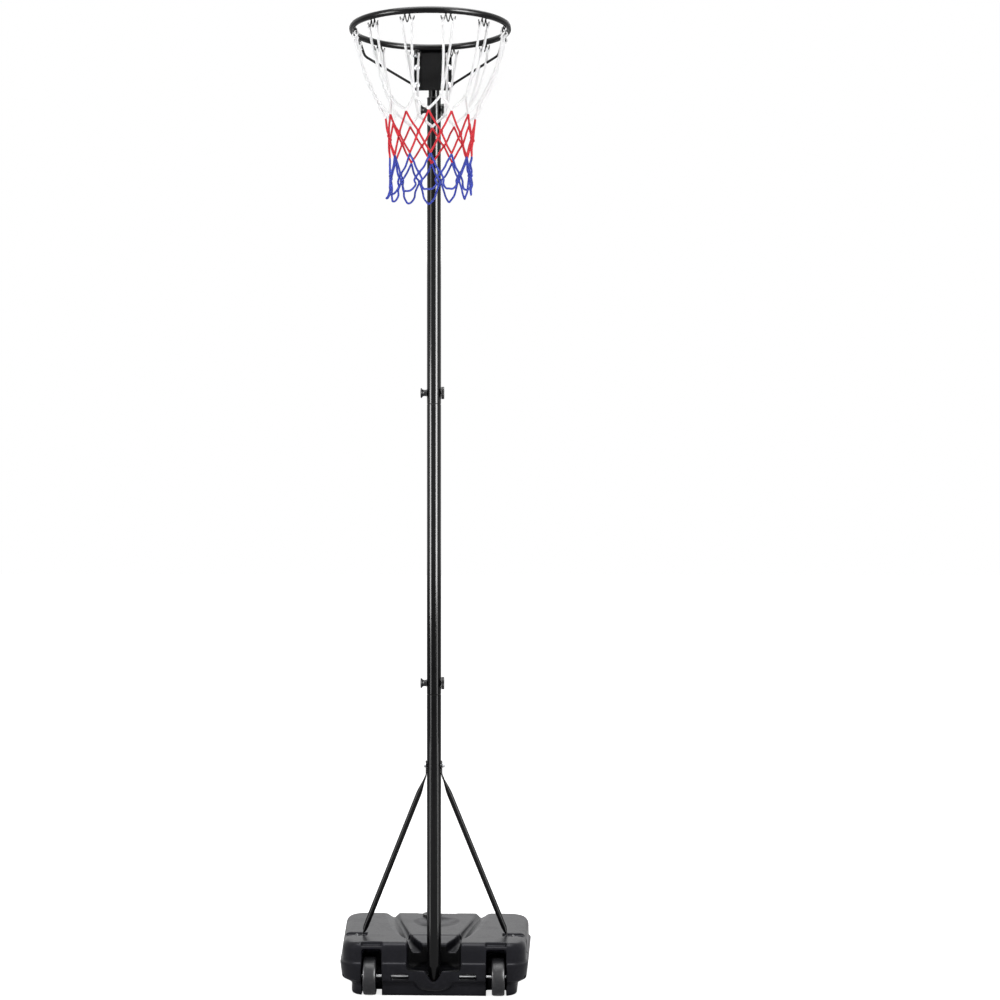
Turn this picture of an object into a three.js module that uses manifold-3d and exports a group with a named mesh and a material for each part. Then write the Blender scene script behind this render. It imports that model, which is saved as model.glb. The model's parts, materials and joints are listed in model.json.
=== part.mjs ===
// Netball post on a wheeled ballast base, modelled in millimetres.
// +Z is up, the ring stands out to -Y, and the origin is on the post's axis at ground level.

import * as THREE from 'three';
import { mergeVertices } from 'three/addons/utils/BufferGeometryUtils.js';
import Module from 'manifold-3d';

const wasm = await Module();
wasm.setup();

// Driving dimensions: clearances
const gap = 0.3;
const slideClearance = 0.3;
const overrun = 40;

// Driving dimensions: post tubes
const postDiameter = 38;
const postWall = 1.5;
const neckWall = 1.5;
const lowerJointHeight = 803;
const middleTubeLength = 773.5;
const upperTubeLength = 813;
const postFootHeight = 30;
const heightTravel = 273;
const neckHoldLength = 130;
const heightSteps = 6;
const footPlugRim = 4;
const footPlugBoss = 10;

// Driving dimensions: clamps that lock the telescoping joints
const clampBoltDiameter = 8;
const clampFromTubeEnd = 29;
const thumbNeckDiameter = 15;
const thumbNeckLength = 13;
const thumbHeadDiameter = 27;
const thumbHeadThickness = 3.5;
const thumbFlareLength = 5;
const knobDiameter = 33;
const knobThickness = 6;
const knobCollarDiameter = 17;
const knobCollarLength = 2;
const knobLobeDepth = 2.6;
const knobLobes = 6;
const clampBoltSpare = 1;

// Driving dimensions: ring, plate and bracket
const ringAboveTube = 114;
const ringInnerDiameter = 380;
const ringBarDiameter = 16;
const plateFaceOffset = 93.7;
const plateWidth = 99;
const plateHeight = 115;
const plateThickness = 3;
const plateCorner = 5;
const plateAboveRing = 4.6;
const plateBoltDiameter = 8;
const plateBoltSpacing = 84;
const plateBoltDrops = [21, 55, 102];
const bracketHeight = 84;
const bracketDrop = 3;
const bracketSheet = 3;
const stubDiameter = 30;
const stubWall = 1.8;
const stubInsertion = 120;
const stubCapRim = 2.5;
const stubCapBoss = 14;
const bushLength = 60;
const bushRim = 3;
const bracketBoltDrops = [18, 68];

// Driving dimensions: hexagon and dome fasteners
const headShare = 1.75;
const headHeightShare = 0.62;
const nutHeightShare = 0.8;

// Driving dimensions: ring struts
const strutDiameter = 6.5;
const strutRootAngle = 22;
const strutBendAngle = 30;
const strutBendDrop = 44;
const strutTabWidth = 14;
const strutTabThickness = 3;

// Driving dimensions: net hooks
const hookCount = 12;
const hookWireDiameter = 3;
const hookWidth = 36;
const hookHeight = 21;
const hookInset = 6;

// Driving dimensions: net
const whiteCordDiameter = 6.6;
const colourCordDiameter = 5.2;
const netDrops = [190, 223, 276, 323, 370, 416];
const netRadii = [130, 112, 108, 104, 104, 107];
const colourStartRows = [1, 3];
const knotOverlap = 1.2;

// Driving dimensions: base tank
const tankTop = 145;
const tankFront = 35;
const tankRear = 365;
const tankFrontWidth = 500;
const tankRearWidth = 532;
const tankCorner = 46;
const tankWall = 4;
const footSideInset = 31;
const footEndInset = 25;
const footHeight = 28;
const skirtHeight = 46;
const creaseHeight = 91;
const topRounding = 22;

// Driving dimensions: features of the tank
const cavityWidth = 145;
const cavityFloor = 72;
const cavityBack = 24;
const cupWidth = 136;
const cupDepth = 42;
const cupBottom = 12;
const notchTopWidth = 46;
const notchBottomWidth = 16;
const notchBottom = 42;
const windowInner = 68;
const windowOuter = 113;
const windowHeight = 13;
const channelBackX = 125;
const channelFrontX = 48;
const channelTopWidth = 34;
const channelFloorWidth = 14;
const channelBackDepth = 13;
const channelMiddleDepth = 24;
const channelFrontDepth = 40;
const clipLength = 20;
const clipWidth = 9;
const clipHeight = 7;
const dimpleY = 222;
const dimpleDiameter = 128;
const dimpleDepth = 13;
const rearStepWidth = 110;
const rearStepDepth = 14;
const rearStepDrop = 24;
const fillLevel = 120;
const skirtInset = 5;
const channelMiddleY = 150;
const channelMiddleX = 84;
const channelDrift = 0.19;
const channelLean = 4;
const channelScoopLength = 30;
const channelScoopShift = 8;
const recessMouthDrop = 6;

// Driving dimensions: filler cap
const fillerX = -15;
const fillerY = 318;
const fillerBore = 44;
const fillerFlange = 54;
const fillerFlangeThickness = 4;
const fillerPlugLength = 18;
const fillerGripWidth = 7;
const fillerGripHeight = 4;
const sealThickness = 1.5;
const sealWidth = 3;

// Driving dimensions: wheels and axle
const wheelDiameter = 100;
const wheelWidth = 34;
const wheelX = 171;
const wheelLift = 0.5;
const wheelRimDepth = 12;
const wheelRimThickness = 9;
const wheelHubDiameter = 30;
const wheelShoulder = 3;
const axleDiameter = 8;
const recessWidth = 53;
const recessX = 165.5;
const recessClearance = 6;
const recessMouthDepth = 20;
const axlePocketX = 210;
const pushNutDiameter = 16;
const pushNutThickness = 5;
const pushNutPocket = 24;

// Driving dimensions: braces
const braceDiameter = 15;
const braceWall = 1.2;
const braceFootX = 198;
const braceFootY = 79;
const braceBoltHeight = 613.5;
const braceBoltDiameter = 8;
const braceTabWidth = 20;
const braceTabThickness = 3;
const braceTabReach = 12;
const braceFlatLength = 30;
const braceFootReach = 27;
const braceScrewDiameter = 6;
const braceScrewLength = 18;
const braceVentDiameter = 3;
const grooveWidth = 40;
const grooveDepth = 8;

// Driving dimensions: how finely round shapes are faceted
const tubeSides = 20;
const smallSides = 10;
const ringSteps = 48;
const skinSides = 12;
const wireSides = 5;
const cordSides = 4;
const boltSides = 8;
const ringBarSides = 8;
const lobeSteps = 6;
const cornerSteps = 5;
const mergeShare = 1e-3;

// Shares of the sizes that they follow, chosen by eye
const roundingShares = [0, 0.3, 0.6, 0.85, 1];
const dimpleShares = [0, 0.25, 0.5, 0.75, 1];
const cupShares = [[0.45, 0.04], [0.75, 0.28], [0.92, 0.6], [1, 1]];
const channelScoopShare = 1.25;
const domeShare = 0.6;
const hangShare = 0.85;
const tabEndShare = 0.6;
const braceShares = [0, 0.25, 0.5, 0.75, 1];
const hookShares = [
  [-1, 0.25], [-0.9, 0.68], [-0.68, 0.8], [-0.5, 0.6], [-0.33, 0], [-0.14, 0.75], [0, 1],
  [0.14, 0.75], [0.33, 0], [0.5, 0.6], [0.68, 0.8], [0.9, 0.68], [1, 0.25],
];
const valleyShare = 0.68;
const valleyDropShare = 0.8;

// Worked out: radii and levels that several pieces share
const postRadius = postDiameter / 2;
const boreRadius = postRadius - postWall;
const neckRadius = boreRadius - slideClearance;
const neckLength = heightTravel + neckHoldLength;
const middleStart = lowerJointHeight + gap;
const middleJointHeight = middleStart + middleTubeLength;
const upperStart = middleJointHeight + gap;
const upperTop = upperStart + upperTubeLength;
const ringPlane = upperTop + ringAboveTube;
const clampBoltRadius = clampBoltDiameter / 2;
const axleRadius = axleDiameter / 2;
const wheelRadius = wheelDiameter / 2;
const axleHeight = wheelRadius + wheelLift;
const ringBarRadius = ringBarDiameter / 2;
const ringMeanRadius = ringInnerDiameter / 2 + ringBarRadius;
const ringCentreY = -(plateFaceOffset + gap + ringBarRadius + ringMeanRadius);
const stubRadius = stubDiameter / 2;
const tankDepth = tankFront + tankRear;
const grooveFloor = tankTop - grooveDepth;
const quarterTurn = Math.PI / 2;

// Materials, one colour set for each kind of surface
const blackPaint = { color: 0x16171a, roughness: 0.3, metalness: 0.5 };
const zinc = { color: 0xb9bcc0, roughness: 0.35, metalness: 0.9 };
const blackPlastic = { color: 0x1b1c1e, roughness: 0.5, metalness: 0 };
const tankPlastic = { color: 0x3a3b3e, roughness: 0.6, metalness: 0 };
const rubberSeal = { color: 0x101010, roughness: 0.8, metalness: 0 };
const ballastWater = { color: 0x9fb6c4, roughness: 0.1, metalness: 0 };
const whiteCord = { color: 0xeeeeec, roughness: 0.85, metalness: 0 };
const redCord = { color: 0xcc2f3c, roughness: 0.85, metalness: 0 };
const blueCord = { color: 0x3c4aa8, roughness: 0.85, metalness: 0 };

// Merge shared vertices, drop empty triangles and turn the faces outward
function closed(source) {
  const geometry = source.clone();
  geometry.deleteAttribute('normal');
  geometry.deleteAttribute('uv');
  const merged = mergeVertices(geometry, mergeShare);
  const position = merged.getAttribute('position');
  const corners = [0, 1, 2].map(() => new THREE.Vector3());
  const kept = [];
  let volume = 0;
  for (let i = 0; i < merged.index.count; i += 3) {
    const [a, b, c] = [0, 1, 2].map((k) => merged.index.getX(i + k));
    if (a === b || b === c || c === a) continue;
    kept.push(a, b, c);
    corners.forEach((corner, k) => corner.fromBufferAttribute(position, [a, b, c][k]));
    volume += corners[0].dot(corners[1].cross(corners[2]));
  }
  for (let i = 0; volume < 0 && i < kept.length; i += 3) {
    [kept[i + 1], kept[i + 2]] = [kept[i + 2], kept[i + 1]];
  }
  merged.setIndex(kept);
  return merged;
}

// Boolean work: geometries go in and a geometry comes out
function toManifold(geometry) {
  const solid = closed(geometry);
  return new wasm.Manifold(new wasm.Mesh({
    numProp: 3,
    vertProperties: new Float32Array(solid.getAttribute('position').array),
    triVerts: new Uint32Array(solid.index.array),
  }));
}

function fromManifold(manifold) {
  const mesh = manifold.getMesh();
  const geometry = new THREE.BufferGeometry();
  geometry.setAttribute('position', new THREE.BufferAttribute(mesh.vertProperties, 3));
  geometry.setIndex(new THREE.BufferAttribute(mesh.triVerts, 1));
  return geometry;
}

function join(first, ...others) {
  return fromManifold(others.reduce((sum, other) => sum.add(toManifold(other)), toManifold(first)));
}

function cut(first, ...others) {
  return fromManifold(others.reduce((rest, other) => rest.subtract(toManifold(other)), toManifold(first)));
}

function common(first, second) {
  return fromManifold(toManifold(first).intersect(toManifold(second)));
}

// Basic shapes
function box(x0, x1, y0, y1, z0, z1) {
  const geometry = new THREE.BoxGeometry(x1 - x0, y1 - y0, z1 - z0);
  return geometry.translate((x0 + x1) / 2, (y0 + y1) / 2, (z0 + z1) / 2);
}

// A turned solid about Z from a profile of [radius, height] points
function turned(profile, sides = tubeSides) {
  const points = profile.map(([radius, height]) => new THREE.Vector2(radius, height));
  return new THREE.LatheGeometry(points, sides).rotateX(quarterTurn);
}

function rod(radius, z0, z1, sides = smallSides) {
  return turned([[0, z0], [radius, z0], [radius, z1], [0, z1]], sides);
}

function pipe(outer, inner, z0, z1, sides = tubeSides) {
  return turned([[inner, z0], [outer, z0], [outer, z1], [inner, z1], [inner, z0]], sides);
}

const alongX = (geometry) => geometry.rotateY(quarterTurn);
const alongY = (geometry) => geometry.rotateX(-quarterTurn);

// An outline in Y and Z, extruded along X from x0 to x1
function extrudeX(points, x0, x1) {
  const shape = new THREE.Shape(points.map(([y, z]) => new THREE.Vector2(y, z)));
  const geometry = new THREE.ExtrudeGeometry(shape, { depth: x1 - x0, bevelEnabled: false });
  return geometry.rotateX(quarterTurn).rotateZ(quarterTurn).translate(x0, 0, 0);
}

// An outline in X and Z, extruded along Y from y0 to y1
function extrudeY(points, y0, y1) {
  const shape = new THREE.Shape(points.map(([x, z]) => new THREE.Vector2(x, z)));
  const geometry = new THREE.ExtrudeGeometry(shape, { depth: y1 - y0, bevelEnabled: false });
  return geometry.rotateX(quarterTurn).translate(0, y1, 0);
}

// A straight cord between two places
function strand(from, to, diameter) {
  const cord = new THREE.CylinderGeometry(diameter / 2, diameter / 2, from.distanceTo(to), cordSides);
  const way = to.clone().sub(from).normalize();
  cord.applyQuaternion(new THREE.Quaternion().setFromUnitVectors(new THREE.Vector3(0, 1, 0), way));
  const middle = from.clone().lerp(to, 0.5);
  return cord.translate(middle.x, middle.y, middle.z);
}

// A skin over rings of points, each with the same count. Its ends are closed by a fan,
// or meet each other when it is looped.
function loft(rings, looped = false) {
  const count = rings[0].length;
  const total = rings.length * count;
  const index = [];
  for (let r = 0; r < rings.length - (looped ? 0 : 1); r += 1) {
    for (let i = 0; i < count; i += 1) {
      const a = r * count + i;
      const b = r * count + ((i + 1) % count);
      const c = (a + count) % total;
      const d = (b + count) % total;
      index.push(a, b, d, a, d, c);
    }
  }
  const last = total - count;
  for (let i = 1; !looped && i < count - 1; i += 1) {
    index.push(0, i + 1, i, last, last + i, last + i + 1);
  }
  const geometry = new THREE.BufferGeometry().setFromPoints(rings.flat());
  geometry.setIndex(index);
  return geometry;
}

// A ring of points round a centre, in the plane of two directions, with two half sizes
function ovalRing(centre, across, along, halfAcross, halfAlong, count = skinSides) {
  return Array.from({ length: count }, (_, i) => {
    const angle = (i / count) * 2 * Math.PI;
    return centre.clone()
      .addScaledVector(across, halfAcross * Math.cos(angle))
      .addScaledVector(along, halfAlong * Math.sin(angle));
  });
}

// The same for a flattened tube: a ring whose two broad sides are flat, or round again with a press of 1
function flatRing(centre, across, along, halfAcross, halfAlong, press = Math.SQRT2) {
  return Array.from({ length: skinSides }, (_, i) => {
    const angle = ((i + 1 / 2) / skinSides) * 2 * Math.PI;
    const rise = Math.max(-1, Math.min(1, press * Math.sin(angle)));
    return centre.clone()
      .addScaledVector(across, halfAcross * Math.cos(angle))
      .addScaledVector(along, halfAlong * rise);
  });
}

// A round wire bent in a plane, with one ring of points at each bend
function bentWire(points, planeNormal, radius) {
  const last = points.length - 1;
  return loft(points.map((place, i) => {
    const way = points[Math.min(i + 1, last)].clone().sub(points[Math.max(i - 1, 0)]).normalize();
    return ovalRing(place, planeNormal, way.cross(planeNormal), radius, radius, wireSides);
  }));
}

const mirrored = (geometry) => join(geometry.clone().scale(-1, 1, 1));

// The object and its named pieces
const post = new THREE.Group();
function piece(name, geometry, look, parent = post) {
  const mesh = new THREE.Mesh(closed(geometry), new THREE.MeshStandardMaterial(look));
  mesh.geometry = mesh.geometry.toNonIndexed();
  mesh.geometry.computeVertexNormals();
  mesh.name = name;
  parent.add(mesh);
  return mesh;
}

// Tank outline at one level: a trapezoid with round corners, drawn in from the widest outline
function tankOutline(z, sideInset, endInset) {
  const front = -tankFront + endInset;
  const rear = tankRear - endInset;
  const halfWidth = (y) => {
    const share = (y + tankFront) / tankDepth;
    return (tankFrontWidth + (tankRearWidth - tankFrontWidth) * share) / 2 - sideInset;
  };
  const radius = tankCorner - Math.min(sideInset, topRounding) / 2;
  const corners = [
    [halfWidth(front) - radius, front + radius, -1],
    [halfWidth(rear) - radius, rear - radius, 0],
    [-halfWidth(rear) + radius, rear - radius, 1],
    [-halfWidth(front) + radius, front + radius, 2],
  ];
  return corners.flatMap(([x, y, turn]) => Array.from({ length: cornerSteps + 1 }, (_, i) => {
    const angle = (turn + i / cornerSteps) * quarterTurn;
    return new THREE.Vector3(x + radius * Math.cos(angle), y + radius * Math.sin(angle), z);
  }));
}

// The tank's outer body, or the space inside it when drawn in by a wall
function tankBody(wall) {
  const rounding = roundingShares.map((share) => {
    const angle = share * quarterTurn;
    return [tankTop - topRounding * (1 - Math.sin(angle)), topRounding * (1 - Math.cos(angle))];
  });
  const levels = [
    [0, footSideInset, footEndInset],
    [footHeight, footSideInset, footEndInset],
    [skirtHeight, skirtInset, skirtInset],
    [creaseHeight, 0, 0],
    ...rounding.map(([z, inset]) => [z, inset, inset]),
  ];
  const squeeze = (tankTop - 2 * wall) / tankTop;
  return loft(levels.map(([z, side, end]) => tankOutline(wall + z * squeeze, side + wall, end + wall)));
}

// Hollows of the tank, each of which can be grown by a wall to keep the inside clear of it
function storageChannel(side, grow) {
  const scoopY = cavityBack + channelScoopLength;
  const stations = [
    [tankRear + overrun, channelBackX + channelDrift * overrun, channelBackDepth, 1],
    [tankRear, channelBackX, channelBackDepth, 1],
    [channelMiddleY, channelMiddleX, channelMiddleDepth, 1],
    [scoopY, channelFrontX + channelScoopShift, channelFrontDepth, channelScoopShare],
    [cavityBack - overrun, channelFrontX, channelFrontDepth, channelScoopShare],
  ];
  const rings = stations.map(([y, x, depth, share]) => {
    const halfTop = channelTopWidth / 2 * share + grow;
    const halfFloor = channelFloorWidth / 2 * share + grow;
    const floorX = x - channelLean;
    return [
      new THREE.Vector3(x - halfTop, y, tankTop + overrun),
      new THREE.Vector3(x - halfTop, y, tankTop),
      new THREE.Vector3(floorX - halfFloor, y, tankTop - depth - grow),
      new THREE.Vector3(floorX + halfFloor, y, tankTop - depth - grow),
      new THREE.Vector3(x + halfTop, y, tankTop),
      new THREE.Vector3(x + halfTop, y, tankTop + overrun),
    ];
  });
  const channel = loft(rings);
  return side > 0 ? channel : mirrored(channel);
}

function ballDimple(grow) {
  const rimRadius = dimpleDiameter / 2;
  const sphereRadius = (rimRadius ** 2 + dimpleDepth ** 2) / (2 * dimpleDepth);
  const reach = Math.asin(rimRadius / sphereRadius);
  const bowl = dimpleShares.map((share) => {
    const radius = sphereRadius + grow;
    const drop = radius * Math.cos(reach * share);
    return [radius * Math.sin(reach * share), tankTop - dimpleDepth + sphereRadius - drop];
  });
  const rim = bowl[bowl.length - 1][0];
  return turned([...bowl, [rim, tankTop + overrun], [0, tankTop + overrun]]).translate(0, dimpleY, 0);
}

function braceGroove(side, grow) {
  const half = grooveWidth / 2 + grow;
  const inner = braceFootX - braceDiameter - grow;
  const outer = tankRearWidth / 2 + overrun;
  const sideFloor = tankFrontWidth / 2 - grooveDepth / 2 - grow;
  const [front, back] = [braceFootY - half, braceFootY + half];
  const top = box(inner, outer, front, back, grooveFloor - grow, tankTop + overrun);
  const down = box(sideFloor, outer, front, back, creaseHeight - grow, tankTop);
  const groove = join(top, down);
  return side > 0 ? groove : mirrored(groove);
}

function braceScrewHole(side, grow) {
  const depth = braceScrewLength + grow;
  const hole = rod(braceScrewDiameter / 2 + gap + grow, grooveFloor - depth, tankTop + overrun);
  return hole.translate(side * (braceFootX + braceFootReach / 2), braceFootY, 0);
}

function rearStep(grow) {
  const half = rearStepWidth / 2 + grow;
  const front = tankRear - rearStepDepth - grow;
  return box(-half, half, front, tankRear + overrun, tankTop - rearStepDrop - grow, tankTop + overrun);
}

const hollows = (grow) => [
  ballDimple(grow),
  rearStep(grow),
  ...[-1, 1].flatMap((side) => [
    storageChannel(side, grow),
    braceGroove(side, grow),
    braceScrewHole(side, grow),
  ]),
];

// The open space for one wheel, with its mouth through the rounded top edge
function wheelRecess(side) {
  const back = wheelRadius + recessClearance;
  const ceiling = axleHeight + wheelRadius + recessClearance;
  const outline = [
    [-overrun - tankFront, -overrun],
    [back, -overrun],
    [back, axleHeight + recessClearance],
    [back / 2, ceiling],
    [-tankFront + recessMouthDepth, tankTop - recessMouthDrop],
    [-tankFront + recessMouthDepth, tankTop + overrun],
    [-overrun - tankFront, tankTop + overrun],
  ];
  const middle = side * recessX;
  return extrudeX(outline, middle - recessWidth / 2, middle + recessWidth / 2);
}

// Front cavity that the post stands in, the cup below it and the notch through the cup's wall
const cupHalf = cupWidth / 2;
const cup = turned([
  [0, cupBottom],
  ...cupShares.map(([across, up]) => [cupHalf * across, cupBottom + (cavityFloor - cupBottom) * up]),
  [0, cavityFloor],
]).scale(1, cupDepth / cupHalf, 1);
const cavity = box(
  -cavityWidth / 2, cavityWidth / 2,
  -tankFront - overrun, cavityBack,
  cavityFloor, tankTop + overrun,
);
const pocketFloor = postFootHeight - footPlugRim - gap;
const postPocket = rod(postRadius + gap, pocketFloor, tankTop + overrun, tubeSides);
const postNotch = extrudeY([
  [-notchBottomWidth / 2, notchBottom],
  [notchBottomWidth / 2, notchBottom],
  [notchTopWidth / 2, cavityFloor + gap],
  [-notchTopWidth / 2, cavityFloor + gap],
], -cupDepth - overrun, 0);

// Axle bore, its windows in the front wall and the pockets of its push nuts
const axleBore = alongX(rod(axleRadius + gap, -tankRearWidth, tankRearWidth));
const axleCuts = [-1, 1].flatMap((side) => {
  const [low, high] = side < 0 ? [-windowOuter, -windowInner] : [windowInner, windowOuter];
  const window = box(
    low, high,
    -tankFront - overrun, axleRadius + recessClearance,
    axleHeight - windowHeight / 2, axleHeight + windowHeight / 2,
  );
  const pocket = alongX(rod(pushNutPocket / 2, axlePocketX, tankRearWidth)).translate(0, 0, axleHeight);
  return [window, side < 0 ? mirrored(pocket) : pocket];
});

// Small clips that stand in each storage channel
function channelClip(side) {
  const x = side * (channelMiddleX - channelLean);
  const floor = tankTop - channelMiddleDepth;
  const clip = box(-clipWidth / 2, clipWidth / 2, -clipLength / 2, clipLength / 2, -clipHeight, clipHeight);
  return clip.translate(x - side * channelFloorWidth / 2, channelMiddleY, floor + clipHeight);
}

// Ballast tank: outer body, inner space, openings
const hollowFront = wheelRadius + recessClearance + tankWall;
const behindWheels = (grow) => box(
  -tankRearWidth, tankRearWidth, hollowFront + grow, tankRear + overrun, -overrun, tankTop + overrun,
);
const insideSpace = cut(common(tankBody(tankWall), behindWheels(0)), ...hollows(tankWall));
const fillerHole = rod(fillerBore / 2, tankTop - tankWall - rearStepDrop, tankTop + overrun, tubeSides)
  .translate(fillerX, fillerY, 0);
const tankSolid = cut(
  join(tankBody(0), cup),
  ...hollows(0),
  ...[-1, 1].map(wheelRecess),
  cavity, postPocket, postNotch,
  axleBore.translate(0, 0, axleHeight), ...axleCuts,
  insideSpace, fillerHole,
);
piece('base_tank', join(tankSolid, ...[-1, 1].map(channelClip)), tankPlastic);

// Ballast: the water that weighs the tank down, filled to just below the cap
const belowFill = box(-tankRearWidth, tankRearWidth, 0, tankRear + overrun, 0, fillLevel);
piece('ballast_water', cut(
  common(common(tankBody(tankWall + gap), behindWheels(gap)), belowFill),
  ...hollows(tankWall + gap),
), ballastWater);

// Filler cap and its seal, turned about Z
const capGroup = new THREE.Group();
capGroup.position.set(fillerX, fillerY, tankTop + gap);
post.add(capGroup);
const capFlangeUnder = sealThickness + gap;
const capTop = capFlangeUnder + fillerFlangeThickness;
const capBody = turned([
  [0, -fillerPlugLength],
  [fillerBore / 2 - gap, -fillerPlugLength],
  [fillerBore / 2 - gap, capFlangeUnder],
  [fillerFlange / 2, capFlangeUnder],
  [fillerFlange / 2, capTop - fillerFlangeThickness / 3],
  [fillerFlange / 2 - fillerFlangeThickness / 3, capTop],
  [fillerBore / 2 - fillerFlangeThickness, capTop],
  [fillerBore / 2 - fillerFlangeThickness - gap, capTop - fillerGripHeight],
  [0, capTop - fillerGripHeight],
]);
const gripHalf = fillerBore / 2 - fillerFlangeThickness / 2;
const capGrip = box(
  -gripHalf, gripHalf, -fillerGripWidth / 2, fillerGripWidth / 2, capTop - fillerGripHeight - gap, capTop,
);
piece('filler_cap', join(capBody, capGrip), blackPlastic, capGroup);
const sealBody = pipe(fillerBore / 2 + sealWidth, fillerBore / 2, 0, sealThickness);
piece('filler_seal', sealBody, rubberSeal, capGroup);

// Wheels, their axle and the push nuts on its ends
function wheelShape() {
  const rim = wheelRadius - wheelRimThickness;
  const hub = wheelHubDiameter / 2;
  const half = wheelWidth / 2;
  const bore = axleRadius + gap;
  const web = half - wheelRimDepth;
  return turned([
    [bore, -half], [hub, -half], [hub, -web], [rim, -web], [rim, -half],
    [wheelRadius - wheelShoulder, -half], [wheelRadius, -half + wheelShoulder],
    [wheelRadius, half - wheelShoulder], [wheelRadius - wheelShoulder, half],
    [rim, half], [rim, web], [hub, web], [hub, half], [bore, half], [bore, -half],
  ], tubeSides);
}
const axleEnd = axlePocketX + gap + pushNutThickness + clampBoltSpare;
piece('wheel_axle', alongX(rod(axleRadius, -axleEnd, axleEnd)), zinc).position.z = axleHeight;
[['left', -1], ['right', 1]].forEach(([side, sign]) => {
  piece(`wheel_${side}`, alongX(wheelShape()), blackPlastic).position.set(sign * wheelX, 0, axleHeight);
  const nut = alongX(pipe(pushNutDiameter / 2, axleRadius + gap, 0, pushNutThickness, smallSides));
  const nutX = axlePocketX + gap + (sign < 0 ? pushNutThickness : 0);
  piece(`axle_push_nut_${side}`, nut, zinc).position.set(sign * nutX, 0, axleHeight);
});

// A cross hole through a tube at one height
const crossHole = (radius, z) => alongX(rod(radius, -overrun, overrun)).translate(0, 0, z);
const clampHoleRadius = clampBoltRadius + gap;

// A tube whose upper end is drawn down to a neck that fits inside the next tube
function neckedTube(start, end) {
  const top = end + neckLength;
  return turned([
    [boreRadius, start], [postRadius, start], [postRadius, end], [neckRadius, end],
    [neckRadius, top], [neckRadius - neckWall, top], [neckRadius - neckWall, end - postWall],
    [boreRadius, end - postWall], [boreRadius, start],
  ]);
}

// Row of holes down the neck, one for each height setting
function neckHoles(jointHeight) {
  const pitch = heightTravel / heightSteps;
  const lowest = jointHeight + gap + clampFromTubeEnd;
  return Array.from({ length: heightSteps + 1 }, (_, k) => crossHole(clampHoleRadius, lowest + k * pitch));
}

const lowerClampHeight = middleStart + clampFromTubeEnd;
const upperClampHeight = upperStart + clampFromTubeEnd;
const hoopClampHeight = upperTop - clampFromTubeEnd;
const braceBoltRadius = braceBoltDiameter / 2;
piece('lower_post', cut(
  neckedTube(postFootHeight, lowerJointHeight),
  ...neckHoles(lowerJointHeight),
  crossHole(axleRadius + gap, axleHeight),
  crossHole(braceBoltRadius + gap, braceBoltHeight),
), blackPaint);
piece('middle_post', cut(
  neckedTube(middleStart, middleJointHeight),
  ...neckHoles(middleJointHeight),
  crossHole(clampHoleRadius, lowerClampHeight),
), blackPaint);
piece('upper_post', cut(
  pipe(postRadius, boreRadius, upperStart, upperTop),
  crossHole(clampHoleRadius, upperClampHeight),
  crossHole(clampHoleRadius, hoopClampHeight),
), blackPaint);
piece('post_foot_plug', turned([
  [0, -footPlugRim], [postRadius, -footPlugRim], [postRadius, -gap], [boreRadius - gap, -gap],
  [boreRadius - gap, footPlugBoss], [0, footPlugBoss],
]), blackPlastic).position.z = postFootHeight;

// Clamps: a thumb bolt from the left through the post and a lobed knob on its threaded end
function thumbBolt() {
  const seat = postRadius + gap;
  const end = seat + knobCollarLength + knobThickness - clampBoltSpare;
  const neck = seat + thumbNeckLength;
  const head = neck + thumbHeadThickness;
  return alongX(turned([
    [0, -head], [thumbHeadDiameter / 2 - clampBoltSpare, -head],
    [thumbHeadDiameter / 2, -head + clampBoltSpare],
    [thumbHeadDiameter / 2, -neck], [thumbNeckDiameter / 2, thumbFlareLength - neck],
    [thumbNeckDiameter / 2, -seat],
    [clampBoltRadius, -seat], [clampBoltRadius, end], [0, end],
  ], smallSides));
}

function lobedKnob() {
  const shape = new THREE.Shape();
  const points = knobLobes * lobeSteps;
  for (let i = 0; i < points; i += 1) {
    const angle = (i / points) * 2 * Math.PI;
    const radius = knobDiameter / 2 - knobLobeDepth * (1 - Math.cos(angle * knobLobes)) / 2;
    const place = [radius * Math.cos(angle), radius * Math.sin(angle)];
    if (i === 0) shape.moveTo(...place);
    else shape.lineTo(...place);
  }
  const disc = new THREE.ExtrudeGeometry(shape, { depth: knobThickness, bevelEnabled: false });
  disc.translate(0, 0, knobCollarLength);
  const collar = rod(knobCollarDiameter / 2, 0, knobCollarLength + gap);
  const bore = rod(clampBoltRadius + gap, -gap, knobCollarLength + knobThickness + gap);
  return alongX(cut(join(disc, collar), bore));
}

[['lower', lowerClampHeight], ['upper', upperClampHeight], ['hoop', hoopClampHeight]].forEach(([name, z]) => {
  piece(`${name}_clamp_bolt`, thumbBolt(), blackPlastic).position.z = z;
  piece(`${name}_clamp_knob`, lobedKnob(), blackPlastic).position.set(postRadius + gap, 0, z);
});

// A bolt along Z with its head below, its nut above and the clamped thickness between them
function boltAndNut(diameter, grip) {
  const head = diameter / 2 * headShare;
  const radius = diameter / 2;
  const headHeight = diameter * headHeightShare;
  const nutEnd = grip + gap + diameter * nutHeightShare;
  return turned([
    [0, -gap - headHeight], [head * domeShare, -gap - headHeight], [head, -gap - headHeight * domeShare],
    [head, -gap], [radius, -gap], [radius, grip + gap], [head, grip + gap],
    [head, nutEnd], [radius, nutEnd], [radius, nutEnd + radius], [0, nutEnd + radius],
  ], boltSides);
}

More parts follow.
